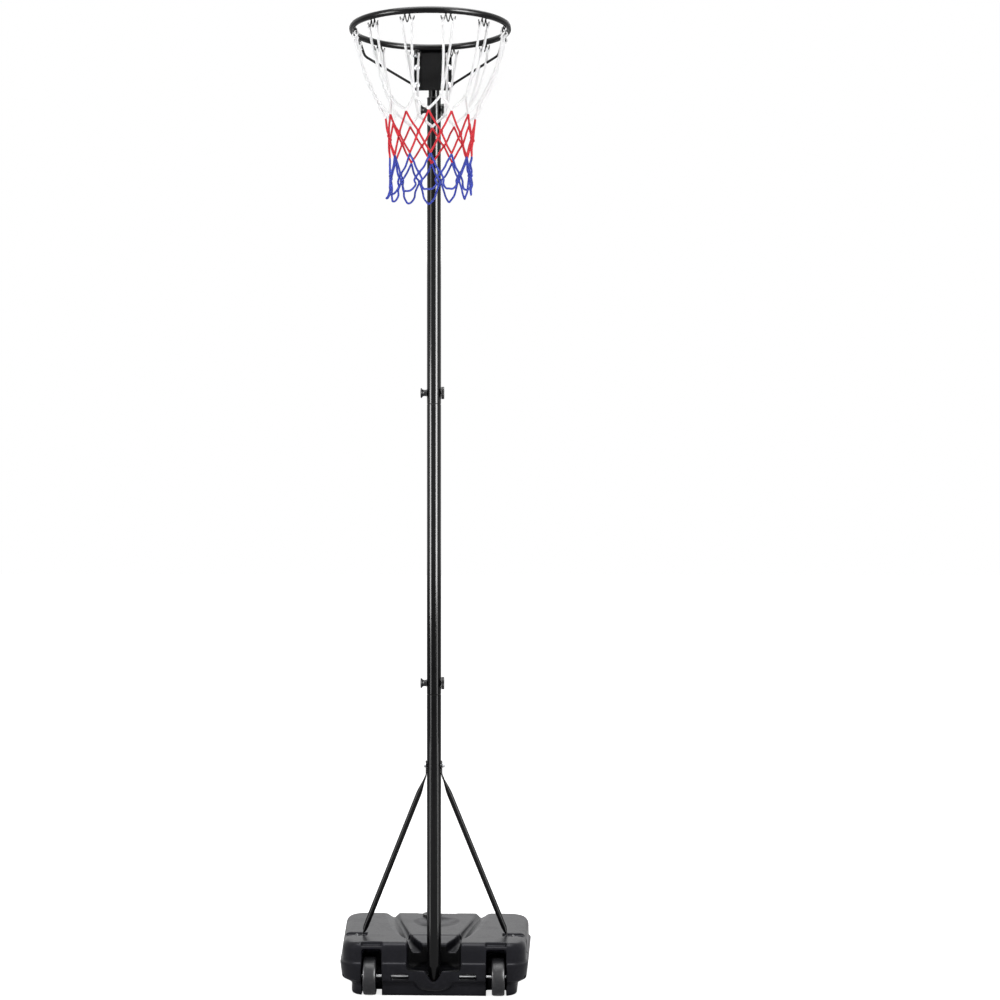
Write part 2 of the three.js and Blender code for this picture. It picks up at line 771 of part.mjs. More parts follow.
// Braces: steel tubes flattened at both ends, bolted to the post and screwed to the tank
function rightBrace() {
  const top = new THREE.Vector3(postRadius + gap + braceTabThickness / 2, 0, braceBoltHeight);
  const footZ = grooveFloor + gap + braceTabThickness / 2;
  const foot = new THREE.Vector3(braceFootX, braceFootY, footZ);
  const down = foot.clone().sub(top).normalize();
  const across = new THREE.Vector3(0, 1, 0).addScaledVector(down, -down.y).normalize();
  const along = down.clone().cross(across);
  const flatDown = new THREE.Vector3(0, down.y, down.z).normalize();
  const [xWay, yWay, zWay] = [[1, 0, 0], [0, 1, 0], [0, 0, 1]].map((axis) => new THREE.Vector3(...axis));
  const flatAcross = xWay.clone().cross(flatDown).negate();
  const wide = braceTabWidth / 2;
  const thin = braceTabThickness / 2;
  const round = braceDiameter / 2;
  const tubeStart = top.clone().addScaledVector(down, braceFlatLength);
  const tubeEnd = foot.clone().addScaledVector(down, -braceFlatLength);
  const tabRing = (reach, halfAcross) => flatRing(
    top.clone().addScaledVector(flatDown, reach), flatAcross, xWay, halfAcross, thin,
  );
  const tubeRing = (share) => flatRing(
    tubeStart.clone().lerp(tubeEnd, share), across, along, round, round, 1,
  );
  const skin = loft([
    tabRing(-braceTabReach, wide * tabEndShare),
    tabRing(-braceTabReach * tabEndShare, wide),
    tabRing(braceTabReach, wide),
    ...braceShares.map(tubeRing),
    flatRing(foot, yWay, zWay, wide, thin),
    flatRing(foot.clone().addScaledVector(xWay, braceFootReach), yWay, zWay, wide, thin),
  ]);
  const inside = round - braceWall;
  const boreRing = (place) => flatRing(place, across, along, inside, inside, 1);
  const bore = loft([tubeStart, tubeEnd].map(boreRing));
  const vent = rod(braceVentDiameter / 2, 0, braceDiameter).applyQuaternion(
    new THREE.Quaternion().setFromUnitVectors(zWay, along),
  ).translate(...tubeEnd.clone().addScaledVector(down, -braceFlatLength).toArray());
  const boltHole = crossHole(braceBoltRadius + gap, braceBoltHeight);
  const screwHole = rod(braceScrewDiameter / 2 + gap, 0, tankTop + overrun)
    .translate(braceFootX + braceFootReach / 2, braceFootY, 0);
  return cut(skin, bore, vent, boltHole, screwHole);
}
const braceShape = rightBrace();
piece('brace_right', braceShape, blackPaint);
piece('brace_left', mirrored(braceShape), blackPaint);
const braceGrip = 2 * (postRadius + gap + braceTabThickness);
piece('brace_bolt', alongX(boltAndNut(braceBoltDiameter, braceGrip)), zinc)
  .position.set(-braceGrip / 2, 0, braceBoltHeight);
[['left', -1], ['right', 1]].forEach(([side, sign]) => {
  const radius = braceScrewDiameter / 2;
  const head = radius * headShare;
  const screw = turned([
    [0, -braceScrewLength], [radius * domeShare, -braceScrewLength], [radius, -braceScrewLength + radius],
    [radius, 0], [head, 0], [head, radius * domeShare], [head * domeShare, radius * headShare],
    [0, radius * headShare],
  ], smallSides);
  const seat = grooveFloor + 2 * gap + braceTabThickness;
  piece(`brace_screw_${side}`, screw, zinc)
    .position.set(sign * (braceFootX + braceFootReach / 2), braceFootY, seat);
});

// Hoop head: everything above the upper tube, drawn from the ring's plane
const hoop = new THREE.Group();
hoop.position.z = ringPlane;
post.add(hoop);
const tubeTop = -ringAboveTube;
const plateTop = plateAboveRing;
const plateBack = -plateFaceOffset + plateThickness;
const bracketTop = plateTop - bracketDrop;
const bracketBottom = bracketTop - bracketHeight;
const boltX = plateBoltSpacing / 2;
const plateBoltRadius = plateBoltDiameter / 2;

// Stub tube with its liner bush and end cap
const stubTop = bracketTop;
const stubHoles = [
  crossHole(clampHoleRadius, tubeTop - clampFromTubeEnd),
  ...bracketBoltDrops.map((drop) => crossHole(plateBoltRadius + gap, bracketTop - drop)),
];
piece('hoop_stub', cut(
  pipe(stubRadius, stubRadius - stubWall, tubeTop - stubInsertion, stubTop), ...stubHoles,
), blackPaint, hoop);
piece('hoop_stub_bush', cut(turned([
  [stubRadius + gap, tubeTop - bushLength], [neckRadius, tubeTop - bushLength], [neckRadius, tubeTop + gap],
  [postRadius, tubeTop + gap], [postRadius, tubeTop + bushRim], [stubRadius + gap, tubeTop + bushRim],
  [stubRadius + gap, tubeTop - bushLength],
]), stubHoles[0]), blackPlastic, hoop);
piece('hoop_stub_cap', turned([
  [0, -stubCapBoss], [stubRadius - stubWall - gap, -stubCapBoss], [stubRadius - stubWall - gap, gap],
  [stubRadius, gap], [stubRadius, stubCapRim], [0, stubCapRim],
]), blackPlastic, hoop).position.z = stubTop;

// Folded bracket that reaches from the plate back round the stub
const armIn = stubRadius + gap;
const armOut = armIn + bracketSheet;
const earBack = plateBack + gap + bracketSheet;
const earOut = plateWidth / 2;
const bracketOutline = [
  [-earOut, plateBack + gap], [-armIn, plateBack + gap], [-armIn, armIn], [armIn, armIn],
  [armIn, plateBack + gap], [earOut, plateBack + gap], [earOut, earBack], [armOut, earBack],
  [armOut, armOut], [-armOut, armOut], [-armOut, earBack], [-earOut, earBack],
];
const bracketShape = new THREE.Shape(bracketOutline.map(([x, y]) => new THREE.Vector2(x, y)));
const bracketBody = new THREE.ExtrudeGeometry(bracketShape, { depth: bracketHeight, bevelEnabled: false })
  .translate(0, 0, bracketBottom);
const plateBolts = [-1, 1].flatMap(
  (sign) => plateBoltDrops.map((drop) => [sign * boltX, plateTop - drop]),
);
const plateDrill = alongY(rod(plateBoltRadius + gap, -overrun, overrun));
const plateHole = ([x, z]) => plateDrill.clone().translate(x, plateBack, z);
const bracketHoles = [...plateBolts.map(plateHole), ...stubHoles.slice(1)];
piece('hoop_bracket', cut(bracketBody, ...bracketHoles), blackPaint, hoop);
const bracketGrip = 2 * armOut;
['upper', 'lower'].forEach((name, i) => {
  piece(`bracket_bolt_${name}`, alongX(boltAndNut(plateBoltDiameter, bracketGrip)), zinc, hoop)
    .position.set(-bracketGrip / 2, 0, bracketTop - bracketBoltDrops[i]);
});

// Mounting plate with round corners
const halfPlate = plateWidth / 2 - plateCorner;
const plateBottom = plateTop - plateHeight;
const plateShape = new THREE.Shape();
[
  [halfPlate, plateTop - plateCorner, 0], [-halfPlate, plateTop - plateCorner, 1],
  [-halfPlate, plateBottom + plateCorner, 2], [halfPlate, plateBottom + plateCorner, 3],
].forEach(([x, z, turn]) => {
  plateShape.absarc(x, z, plateCorner, turn * quarterTurn, (turn + 1) * quarterTurn, false);
});
const plateBody = new THREE.ExtrudeGeometry(plateShape, {
  depth: plateThickness, bevelEnabled: false, curveSegments: 4,
}).rotateX(quarterTurn).translate(0, plateBack, 0);
piece('hoop_plate', cut(plateBody, ...plateBolts.map(plateHole)), blackPaint, hoop);
const lowestDrop = plateBoltDrops[plateBoltDrops.length - 1];
plateBolts.forEach(([x, z]) => {
  const isLowest = z === plateTop - lowestDrop;
  const front = -plateFaceOffset - (isLowest ? strutTabThickness + gap : 0);
  const back = isLowest ? plateBack : earBack;
  const row = ['upper', 'middle', 'lower'][plateBoltDrops.findIndex((drop) => z === plateTop - drop)];
  const bolt = boltAndNut(plateBoltDiameter, back - front).rotateX(-quarterTurn);
  piece(`plate_bolt_${row}_${x < 0 ? 'left' : 'right'}`, bolt, zinc, hoop).position.set(x, front, z);
});

// Ring with its struts
const ring = new THREE.Group();
ring.position.y = ringCentreY;
hoop.add(ring);
const ringBody = new THREE.TorusGeometry(ringMeanRadius, ringBarRadius, ringBarSides, ringSteps);
piece('hoop_ring', ringBody, blackPaint, ring);

function rightStrut() {
  const radius = strutDiameter / 2;
  const underRing = (degrees, drop) => {
    const angle = degrees * Math.PI / 180;
    return new THREE.Vector3(ringMeanRadius * Math.cos(angle), ringMeanRadius * Math.sin(angle), -drop);
  };
  const start = underRing(strutRootAngle, ringBarRadius + gap);
  const bend = underRing(strutBendAngle, strutBendDrop);
  const toBend = bend.clone().sub(start).normalize();
  const tabZ = plateTop - lowestDrop;
  const tabY = -plateFaceOffset - gap - strutTabThickness / 2 - ringCentreY;
  const tabOut = new THREE.Vector3(boltX + strutTabWidth / 2, tabY, tabZ);
  const tabIn = new THREE.Vector3(boltX - strutTabWidth / 2, tabY, tabZ);
  const toTab = tabOut.clone().sub(bend).normalize();
  const neck = tabOut.clone().addScaledVector(toTab, -strutTabWidth);
  const [yWay, downWay] = [[0, 1, 0], [0, 0, -1]].map((axis) => new THREE.Vector3(...axis));
  const level = new THREE.Vector3().crossVectors(downWay, toTab).normalize();
  const barRing = (place, way) => ovalRing(
    place, way.clone().cross(level).normalize(), level, radius, radius, boltSides,
  );
  const tabRing = (place) => ovalRing(
    place, downWay, yWay, strutTabWidth / 2, strutTabThickness / 2, boltSides,
  );
  const arm = loft([
    barRing(start, downWay),
    barRing(bend.clone().addScaledVector(toBend, -radius), toBend),
    barRing(bend.clone().addScaledVector(toTab, radius), toTab),
    barRing(neck, toTab),
    tabRing(tabOut),
    tabRing(tabIn),
  ]);
  return cut(arm, plateHole([boltX, tabZ]).translate(0, -ringCentreY, 0));
}
const strutShape = rightStrut();
piece('ring_strut_right', strutShape, blackPaint, ring);
piece('ring_strut_left', mirrored(strutShape), blackPaint, ring);

// Net hooks: bent wires that hang under the ring, with two cord valleys and a deeper middle bend
const wireRadius = hookWireDiameter / 2;
const hookRadius = ringMeanRadius - hookInset;
const hookTop = -Math.sqrt((ringBarRadius + gap + wireRadius) ** 2 - hookInset ** 2);
const hookAngle = (k) => ((k + 0.5) / hookCount) * 2 * Math.PI;
const hookPath = hookShares.map(([across, down]) => new THREE.Vector3(
  0, across * hookWidth / 2, hookTop - down * (hookHeight - hookWireDiameter),
));
const hookBody = bentWire(hookPath, new THREE.Vector3(1, 0, 0), wireRadius);
for (let k = 0; k < hookCount; k += 1) {
  const hook = piece(`net_hook_${String(k + 1).padStart(2, '0')}`, hookBody.clone(), blackPaint, ring);
  const angle = hookAngle(k);
  hook.position.set(hookRadius * Math.cos(angle), hookRadius * Math.sin(angle), 0);
  hook.rotation.z = angle;
}

// Net: cords between rows of knots, one unbroken solid for each colour
const knotPlace = (row, k) => {
  const angle = ((k + (row % 2 === 0 ? 0.5 : 0)) / hookCount) * 2 * Math.PI;
  return new THREE.Vector3(
    netRadii[row] * Math.cos(angle), netRadii[row] * Math.sin(angle), -netDrops[row],
  );
};
const everyColumn = (work) => Array.from({ length: hookCount }, (_, k) => work(k)).flat();

// One endless cord that zigzags between a row of knots and the row below it
function zigzag(row, diameter, extra = 0) {
  const upWay = new THREE.Vector3(0, 0, 1);
  const halfColumn = Math.PI * netRadii[row] / hookCount;
  const slant = Math.hypot(netDrops[row + 1] - netDrops[row], halfColumn);
  const reach = (diameter / 2 + extra) * slant / halfColumn;
  const rings = everyColumn((k) => {
    const order = row % 2 === 0 ? [[row + 1, k], [row, k]] : [[row, k], [row + 1, k]];
    return order.map(([level, column]) => {
      const place = knotPlace(level, column);
      const radial = place.clone().setZ(0).normalize();
      if (level === row) place.z -= colourStartRows.includes(row) ? reach * hangShare : -knotOverlap;
      return ovalRing(place, radial, upWay, diameter / 2 + extra, reach, cordSides);
    });
  });
  return loft(rings, true);
}

// Cords from the two valleys of each hook to the knot below it
const valleyZ = hookTop - wireRadius - gap - (hookHeight - hookWireDiameter) * valleyDropShare;
const hangers = everyColumn((k) => {
  const angle = hookAngle(k);
  const turn = new THREE.Matrix4().makeRotationZ(angle).setPosition(
    hookRadius * Math.cos(angle), hookRadius * Math.sin(angle), 0,
  );
  return [-1, 1].map((side) => {
    const valley = new THREE.Vector3(0, side * valleyShare * hookWidth / 2, valleyZ).applyMatrix4(turn);
    return strand(valley, knotPlace(0, k), whiteCordDiameter);
  });
});
piece('net_white', join(
  zigzag(0, whiteCordDiameter), ...hangers,
), whiteCord, ring);
piece('net_red', cut(
  join(zigzag(1, colourCordDiameter), zigzag(2, colourCordDiameter)),
  zigzag(0, whiteCordDiameter, gap),
), redCord, ring);
piece('net_blue', cut(
  join(zigzag(3, colourCordDiameter), zigzag(4, colourCordDiameter)),
  zigzag(2, colourCordDiameter, gap),
), blueCord, ring);

export default post;
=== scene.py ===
# Netball post on a wheeled ballast tank, dressed for its picture.
# Numbers for shapes are millimetres and are multiplied by MM. +Z is up and the ring stands out to -Y.

import json
import math

import bmesh
import bpy
from mathutils import Matrix, Vector

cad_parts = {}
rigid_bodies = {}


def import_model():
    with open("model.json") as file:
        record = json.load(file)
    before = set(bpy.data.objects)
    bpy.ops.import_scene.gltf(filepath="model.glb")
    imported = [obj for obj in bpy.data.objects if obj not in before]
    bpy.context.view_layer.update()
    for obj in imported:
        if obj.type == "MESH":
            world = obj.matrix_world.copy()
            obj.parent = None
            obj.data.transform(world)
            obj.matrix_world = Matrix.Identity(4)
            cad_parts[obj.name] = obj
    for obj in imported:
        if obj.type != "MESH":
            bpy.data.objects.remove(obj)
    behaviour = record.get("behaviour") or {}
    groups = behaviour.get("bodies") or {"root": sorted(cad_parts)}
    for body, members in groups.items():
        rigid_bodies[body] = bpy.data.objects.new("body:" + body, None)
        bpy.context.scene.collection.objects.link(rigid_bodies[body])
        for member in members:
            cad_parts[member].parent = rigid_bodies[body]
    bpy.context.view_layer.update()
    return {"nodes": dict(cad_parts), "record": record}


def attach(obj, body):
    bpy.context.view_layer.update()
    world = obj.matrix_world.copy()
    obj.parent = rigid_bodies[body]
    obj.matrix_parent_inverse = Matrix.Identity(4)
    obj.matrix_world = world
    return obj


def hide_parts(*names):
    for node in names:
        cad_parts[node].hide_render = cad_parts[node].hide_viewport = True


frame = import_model()
MM = 0.001
X_WAY, Y_WAY, Z_WAY = Vector((1, 0, 0)), Vector((0, 1, 0)), Vector((0, 0, 1))
SIDES = (("left", -1), ("right", 1))

# Camera and light
CAMERA_DISTANCE = 5.25
CAMERA_HEIGHT = 1.3152
CAMERA_TURN = math.radians(1.8)
CAMERA_LENS = 70.85
CAMERA_SHIFT = (0.066, 0.002)
WHITE_LIGHT = (1, 1, 1, 1)
SURROUNDING_LIGHT = 0.4
FLOOR_LIFT = 0.8

# Space between two pieces that sit on each other
SEAT = 0.3

# Post, clamps and braces
POST_RADIUS = 19
POST_WALL = 1.5
NECK_RADIUS = 17.2
NECK_LENGTH = 403
NECK_HOLES = 7
FIRST_NECK_HOLE = 29.3
HEIGHT_TRAVEL = 273
PIN_HOLE_RADIUS = 4.3
JOINT_HEIGHTS = (803, 1576.8)
TUBE_STARTS = (30, 803.3, 1577.1)
UPPER_TOP = 2390.1
CLAMP_HEIGHTS = (("lower", 832.3), ("upper", 1606.1), ("hoop", 2361.1))
KNOB_REACH = 16.5
KNOB_DIP = 1.3
KNOB_LOBES = 6
BRACE_TOP = 613.5
BRACE_FOOT = (198, 79, 138.8)
BRACE_RADIUS = 7.5
FLAT_HALF_WIDTH = 10
FLAT_HALF_THICKNESS = 1.5
FLAT_PRESS = 1.41
BRACE_TAB = 27
BRACE_TOP_RUN = 60
BRACE_FOOT_RUN = 32
BOLT_RADIUS = 4

# Ring, plate and net
RING_PLANE = 2504.1
RING_CENTRE = -300
RING_RADIUS = 198
RING_BAR = 8
PLATE_FRONT = -93.7
PLATE_TOP = 2508.7
PLATE_HALF_WIDTH = 49.5
PLATE_HALF_HEIGHT = 57.5
PLATE_THICKNESS = 3
PLATE_CORNER = 6
PLATE_BOLT_X = 42
LOWEST_BOLT_DROP = 102
BRACKET_TOP = 2505.7
BRACKET_HALF_WIDTH = 18.3
FLANGE_REAR = -87.4
STRUT_ROOT = math.radians(22)
STRUT_BEND = math.radians(30)
STRUT_RADIUS = 3.25
HOOKS = 12
HOOK_RADIUS = 192
HOOK_TOP = -7.75
HOOK_HALF_WIDTH = 18
HOOK_DEPTH = 18
NET_DROPS = (190, 223, 276, 323, 370, 416)
NET_RADII = (130, 112, 108, 104, 104, 107)
NET_STRAY = (1.5, 2, 3.5, 4.5, 6, 8)
WHITE_CORD = 3.3
COLOUR_CORD = 2.6

# Tank, wheels and cap
TANK_TOP = 145
TANK_MIDDLE = 165
TANK_HALF_DEPTH = 200
TANK_HALF_FRONT = 250
TANK_HALF_REAR = 266
TANK_CORNER = 46
TANK_SHOULDER = 123
BALL_REST = (0, 238, 130)
BALL_REST_RADIUS = 153
SKIN_STEP = 0.0022
SKIN_KEPT = 0.34
AXLE_HEIGHT = 50.5
AXLE_RADIUS = 4
WHEEL_X = 171
FILLER = (-15, 318)
WATER_MIDDLE = 225
WATER_FOOT = 12


# Shaping by hand, with one piece selected
def alone(piece):
    bpy.ops.object.select_all(action="DESELECT")
    piece.select_set(True)
    bpy.context.view_layer.objects.active = piece


def named(piece, name):
    piece.name = piece.data.name = name
    return piece


def newest(name):
    return named(bpy.context.object, name)


def modified(piece, kind, **settings):
    alone(piece)
    modifier = piece.modifiers.new(kind.lower(), kind)
    for key, value in settings.items():
        setattr(modifier, key, value)
    bpy.ops.object.modifier_apply(modifier=modifier.name)
    return piece


def bevelled(piece, width, segments=2, angle=32):
    return modified(
        piece, "BEVEL", width=width * MM, segments=segments,
        limit_method="ANGLE", angle_limit=math.radians(angle),
    )


def placed(piece, x=0, y=0, z=0):
    piece.data.transform(Matrix.Translation(Vector((x, y, z)) * MM))
    return piece


def laid_along_x(piece):
    piece.data.transform(Matrix.Rotation(math.pi / 2, 4, "Y"))
    return piece


def laid_along_y(piece):
    piece.data.transform(Matrix.Rotation(-math.pi / 2, 4, "X"))
    return piece


def facing_out(piece):
    alone(piece)
    bpy.ops.object.mode_set(mode="EDIT")
    bpy.ops.mesh.select_all(action="SELECT")
    bpy.ops.mesh.remove_doubles(threshold=0.00001)
    bpy.ops.mesh.normals_make_consistent(inside=False)
    bpy.ops.object.mode_set(mode="OBJECT")
    return piece


def joined(pieces, name):
    alone(pieces[0])
    for piece in pieces[1:]:
        piece.select_set(True)
    bpy.ops.object.join()
    return newest(name)


def mirrored(piece, name):
    twin = piece.copy()
    twin.data = piece.data.copy()
    bpy.context.scene.collection.objects.link(named(twin, name))
    twin.data.transform(Matrix.Diagonal((-1, 1, 1, 1)))
    twin.data.flip_normals()
    return twin


def carved(piece, cutter, operation="DIFFERENCE"):
    modified(piece, "BOOLEAN", object=cutter, operation=operation, solver="EXACT")
    bpy.data.objects.remove(cutter)
    return piece


def drawn_up(rise, filled=True):
    """The chosen faces, or only the edges of an open rim, drawn out along Z."""
    draw = bpy.ops.mesh.extrude_region_move if filled else bpy.ops.mesh.extrude_edges_move
    draw(TRANSFORM_OT_translate={"value": (0, 0, rise * MM)})


def sheet(name, middle, half_width, half_depth, level=0):
    bpy.ops.mesh.primitive_plane_add(size=2)
    piece = newest(name)
    piece.data.transform(Matrix.Diagonal((half_width * MM, half_depth * MM, 1, 1)))
    return placed(piece, y=middle, z=level)


def corners_rounded(radius, segments):
    """Rounds the sheet's corners and leaves it open for editing."""
    bpy.ops.object.mode_set(mode="EDIT")
    bpy.ops.mesh.select_all(action="SELECT")
    bpy.ops.mesh.bevel(offset=radius * MM, segments=segments, affect="VERTICES", profile=0.5)


# A turned piece: a circle drawn out and resized along a profile of radius and height
def turned(name, profile, sides=64):
    capped = profile[0][0] == 0
    line = list(profile[1:] if capped else profile)
    filling = "NGON" if capped else "NOTHING"
    bpy.ops.mesh.primitive_circle_add(vertices=sides, radius=line[0][0] * MM, fill_type=filling)
    piece = placed(newest(name), z=line[0][1])
    bpy.ops.object.mode_set(mode="EDIT")
    bpy.ops.mesh.select_all(action="SELECT")
    for (radius, height), (wide, level) in zip(line, line[1:]):
        if wide == 0:
            if abs(level - height) < 1e-6:
                bpy.ops.mesh.edge_face_add()
                continue
            drawn_up(level - height, filled=False)
            bpy.ops.mesh.merge(type="CENTER")
            continue
        drawn_up(level - height, filled=capped and (radius, height) == line[0])
        share = wide / radius
        bpy.ops.transform.resize(value=(share, share, 1), center_override=(0, 0, level * MM))
    bpy.ops.object.mode_set(mode="OBJECT")
    return facing_out(piece)


def plug(name, radius, low, high, sides=24):
    return turned(name, ((0, low), (radius, low), (radius, high), (0, high)), sides)


# A skin over rings of points, each with the same count, its uv map measured along the way
def skinned(name, rings, looped=False):
    shape = bmesh.new()
    uv = shape.loops.layers.uv.new("length")
    rows = [[shape.verts.new(Vector(point) * MM) for point in ring] for ring in rings]
    count = len(rings[0])
    middles = [sum((Vector(point) for point in ring), Vector()) / count for ring in rings]
    walked = [0.0]
    for one, two in zip(middles, middles[1:]):
        walked.append(walked[-1] + (two - one).length * MM)
    if looped:
        rows.append(rows[0])
        walked.append(walked[-1] + walked[1])
    for low in range(len(rows) - 1):
        for i in range(count):
            corners = ((low, i), (low, i + 1), (low + 1, i + 1), (low + 1, i))
            face = shape.faces.new([rows[row][k % count] for row, k in corners])
            for loop, (row, k) in zip(face.loops, corners):
                loop[uv].uv = (walked[row], k / count)
    if not looped:
        shape.faces.new(rows[0][::-1])
        shape.faces.new(rows[-1])
    bmesh.ops.recalc_face_normals(shape, faces=shape.faces)
    mesh = bpy.data.meshes.new(name)
    shape.to_mesh(mesh)
    shape.free()
    piece = bpy.data.objects.new(name, mesh)
    bpy.context.scene.collection.objects.link(piece)
    return piece


# Round cord or wire along a path, its rings turned as little as possible on the way
def drawn(name, path, radius, sides=10, looped=False):
    places = [Vector(place) for place in path]
    count = len(places)
    sizes = radius if isinstance(radius, list) else [radius] * count
    ways = []
    for i, place in enumerate(places):
        before = places[i - 1] if looped or i else place
        after = places[(i + 1) % count] if looped or i < count - 1 else place
        ways.append((after - before).normalized())
    side = ways[0].orthogonal().normalized()
    if abs(ways[0].z) < 0.9:
        side = (Z_WAY - ways[0] * ways[0].z).normalized()
    rings = []
    sides_seen = []
    for i, (place, way) in enumerate(zip(places, ways)):
        if i:
            side = ways[i - 1].rotation_difference(way) @ side
        side = (side - way * side.dot(way)).normalized()
        sides_seen.append((side.copy(), way))
    slip = 0.0
    if looped:
        last = ways[-1].rotation_difference(ways[0]) @ sides_seen[-1][0]
        first = sides_seen[0][0]
        slip = math.atan2(last.cross(first).dot(ways[0]), last.dot(first))
    for i, (side, way) in enumerate(sides_seen):
        up = way.cross(side)
        ring = []
        for k in range(sides):
            angle = math.tau * k / sides + slip * i / count
            ring.append(places[i] + (side * math.cos(angle) + up * math.sin(angle)) * sizes[i])
        rings.append(ring)
    return skinned(name, rings, looped=looped)


# A smooth line through places, with a few steps between each pair
def eased(places, steps=4, looped=False):
    spots = [Vector(place) for place in places]
    count = len(spots)
    line = []
    for i in range(count if looped else count - 1):
        a, b, c, d = (spots[k % count if looped else min(max(k, 0), count - 1)] for k in range(i - 1, i + 3))
        for step in range(steps):
            t = step / steps
            bend = (2 * a - 5 * b + 4 * c - d) * t * t + (3 * b - a - 3 * c + d) * t ** 3
            line.append(0.5 * (2 * b + (c - a) * t + bend))
    if not looped:
        line.append(spots[-1])
    return line


# Shader work
def wired(tree, kind, links=None, **settings):
    made = tree.nodes.new(kind)
    for key, value in settings.items():
        setattr(made, key, value)
    for socket, value in (links or {}).items():
        target = made.inputs[socket]
        if isinstance(value, bpy.types.NodeSocket):
            tree.links.new(value, target)
        else:
            target.default_value = value
    return made


def reckoned(tree, operation, *values):
    """The outcome of one step of arithmetic on sockets and numbers."""
    return wired(tree, "ShaderNodeMath", dict(enumerate(values)), operation=operation).outputs[0]


def noise(tree, scale, detail, roughness=0.5):
    place = wired(tree, "ShaderNodeTexCoord").outputs["Object"]
    return wired(tree, "ShaderNodeTexNoise", {
        "Vector": place, "Scale": scale, "Detail": detail, "Roughness": roughness,
    }).outputs[0]


def effect(name, inputs, **outputs):
    """A group with its number inputs and its outputs, its given sockets, and its own outlet."""
    group = bpy.data.node_groups.new(name, "ShaderNodeTree")
    for socket, default in inputs.items():
        group.interface.new_socket(socket, in_out="INPUT", socket_type="NodeSocketFloat").default_value = default
    for socket, kind in outputs.items():
        group.interface.new_socket(socket, in_out="OUTPUT", socket_type=kind)
    return group, group.nodes.new("NodeGroupInput").outputs, group.nodes.new("NodeGroupOutput").inputs


def bumped(group, depth, height, outlet):
    bump = wired(group, "ShaderNodeBump", {"Strength": 1.0, "Distance": depth, "Height": height})
    group.links.new(bump.outputs[0], outlet)


def scuff_effect():
    """Broad patches with finer specks in them."""
    group, given, outlet = effect("scuffs", {"Scale": 40.0, "Low": 0.5, "High": 0.7}, Mask="NodeSocketFloat")
    broad = reckoned(group, "MULTIPLY", noise(group, given["Scale"], 6.0, 0.65), 0.65)
    specks = noise(group, reckoned(group, "MULTIPLY", given["Scale"], 7.0), 3.0)
    mask = wired(group, "ShaderNodeMapRange", {
        "Value": reckoned(group, "MULTIPLY_ADD", specks, 0.35, broad),
        "From Min": given["Low"], "From Max": given["High"],
    })
    group.links.new(mask.outputs[0], outlet["Mask"])
    return group


def grain_effect():
    """The fine pebbled skin of plastic and powder paint."""
    group, given, outlet = effect("grain", {"Scale": 900.0, "Depth": 0.0001}, Normal="NodeSocketVector")
    place = wired(group, "ShaderNodeTexCoord").outputs["Object"]
    cells = wired(group, "ShaderNodeTexVoronoi", {"Vector": place, "Scale": given["Scale"]}, feature="SMOOTH_F1")
    height = reckoned(group, "ADD", cells.outputs["Distance"], noise(group, given["Scale"], 4.0))
    bumped(group, given["Depth"], height, outlet["Normal"])
    return group


def braid_effect():
    """Strands wound both ways round a cord, with fibres on them."""
    group, given, outlet = effect(
        "braid", {"Pitch": 0.006, "Depth": 0.0004}, Normal="NodeSocketVector", Valley="NodeSocketFloat",
    )
    place = wired(group, "ShaderNodeUVMap", uv_map="length").outputs[0]
    parts = wired(group, "ShaderNodeSeparateXYZ", {0: place}).outputs
    along = reckoned(group, "DIVIDE", parts[0], given["Pitch"])
    strands = []
    for windings in (4.0, -4.0):
        wound = reckoned(group, "MULTIPLY_ADD", parts[1], windings, along)
        strands.append(reckoned(group, "SINE", reckoned(group, "MULTIPLY", wound, math.tau)))
    ridge = reckoned(group, "MAXIMUM", *strands)
    height = reckoned(group, "MULTIPLY_ADD", noise(group, 2500.0, 3.0), 0.5, ridge)
    bumped(group, given["Depth"], height, outlet["Normal"])
    # The mask of the valleys between the strands, where the cords get painted shade.
    low = wired(group, "ShaderNodeMapRange", {"Value": ridge, "From Min": 0.9, "From Max": -0.2})
    group.links.new(low.outputs[0], outlet["Valley"])
    return group


SCUFFS = scuff_effect()
GRAIN = grain_effect()
BRAID = braid_effect()


def fresh_material(name, specular):
    material = bpy.data.materials.new(name)
    material.use_nodes = True
    shader = material.node_tree.nodes["Principled BSDF"]
    shader.inputs["Specular IOR Level"].default_value = specular
    return material, material.node_tree, shader


def two_shades(tree, share, one, other):
    """A colour that goes from one to the other by the share."""
    colours = {"Factor": share, 6: (*one, 1), 7: (*other, 1)}
    return wired(tree, "ShaderNodeMix", colours, data_type="RGBA").outputs[2]


def scuffed_gloss(tree, shader, roughness, scuffed, **scuffs):
    """Roughness that goes over to the scuffed one in patches. The patches' mask is returned."""
    mask = wired(tree, "ShaderNodeGroup", scuffs, node_tree=SCUFFS).outputs[0]
    gloss = wired(tree, "ShaderNodeMapRange", {"Value": mask, "To Min": roughness, "To Max": scuffed})
    tree.links.new(gloss.outputs[0], shader.inputs["Roughness"])
    return mask


def finish(
    name, colour, worn, roughness, scuffed,
    metallic=0.0, grain=(900.0, 0.00005), scuffs=(30.0, 0.5, 0.68), specular=0.5, tint=(1, 1, 1),
):
    """A solid finish: its colour and roughness go over to the worn ones where it is scuffed."""
    material, tree, shader = fresh_material(name, specular)
    scale, low, high = scuffs
    mask = scuffed_gloss(tree, shader, roughness, scuffed, Scale=scale, Low=low, High=high)
    tree.links.new(two_shades(tree, mask, colour, worn), shader.inputs["Base Color"])
    texture = wired(tree, "ShaderNodeGroup", {"Scale": grain[0], "Depth": grain[1]}, node_tree=GRAIN)
    tree.links.new(texture.outputs[0], shader.inputs["Normal"])
    shader.inputs["Metallic"].default_value = metallic
    shader.inputs["Specular Tint"].default_value = (*tint, 1)
    return material


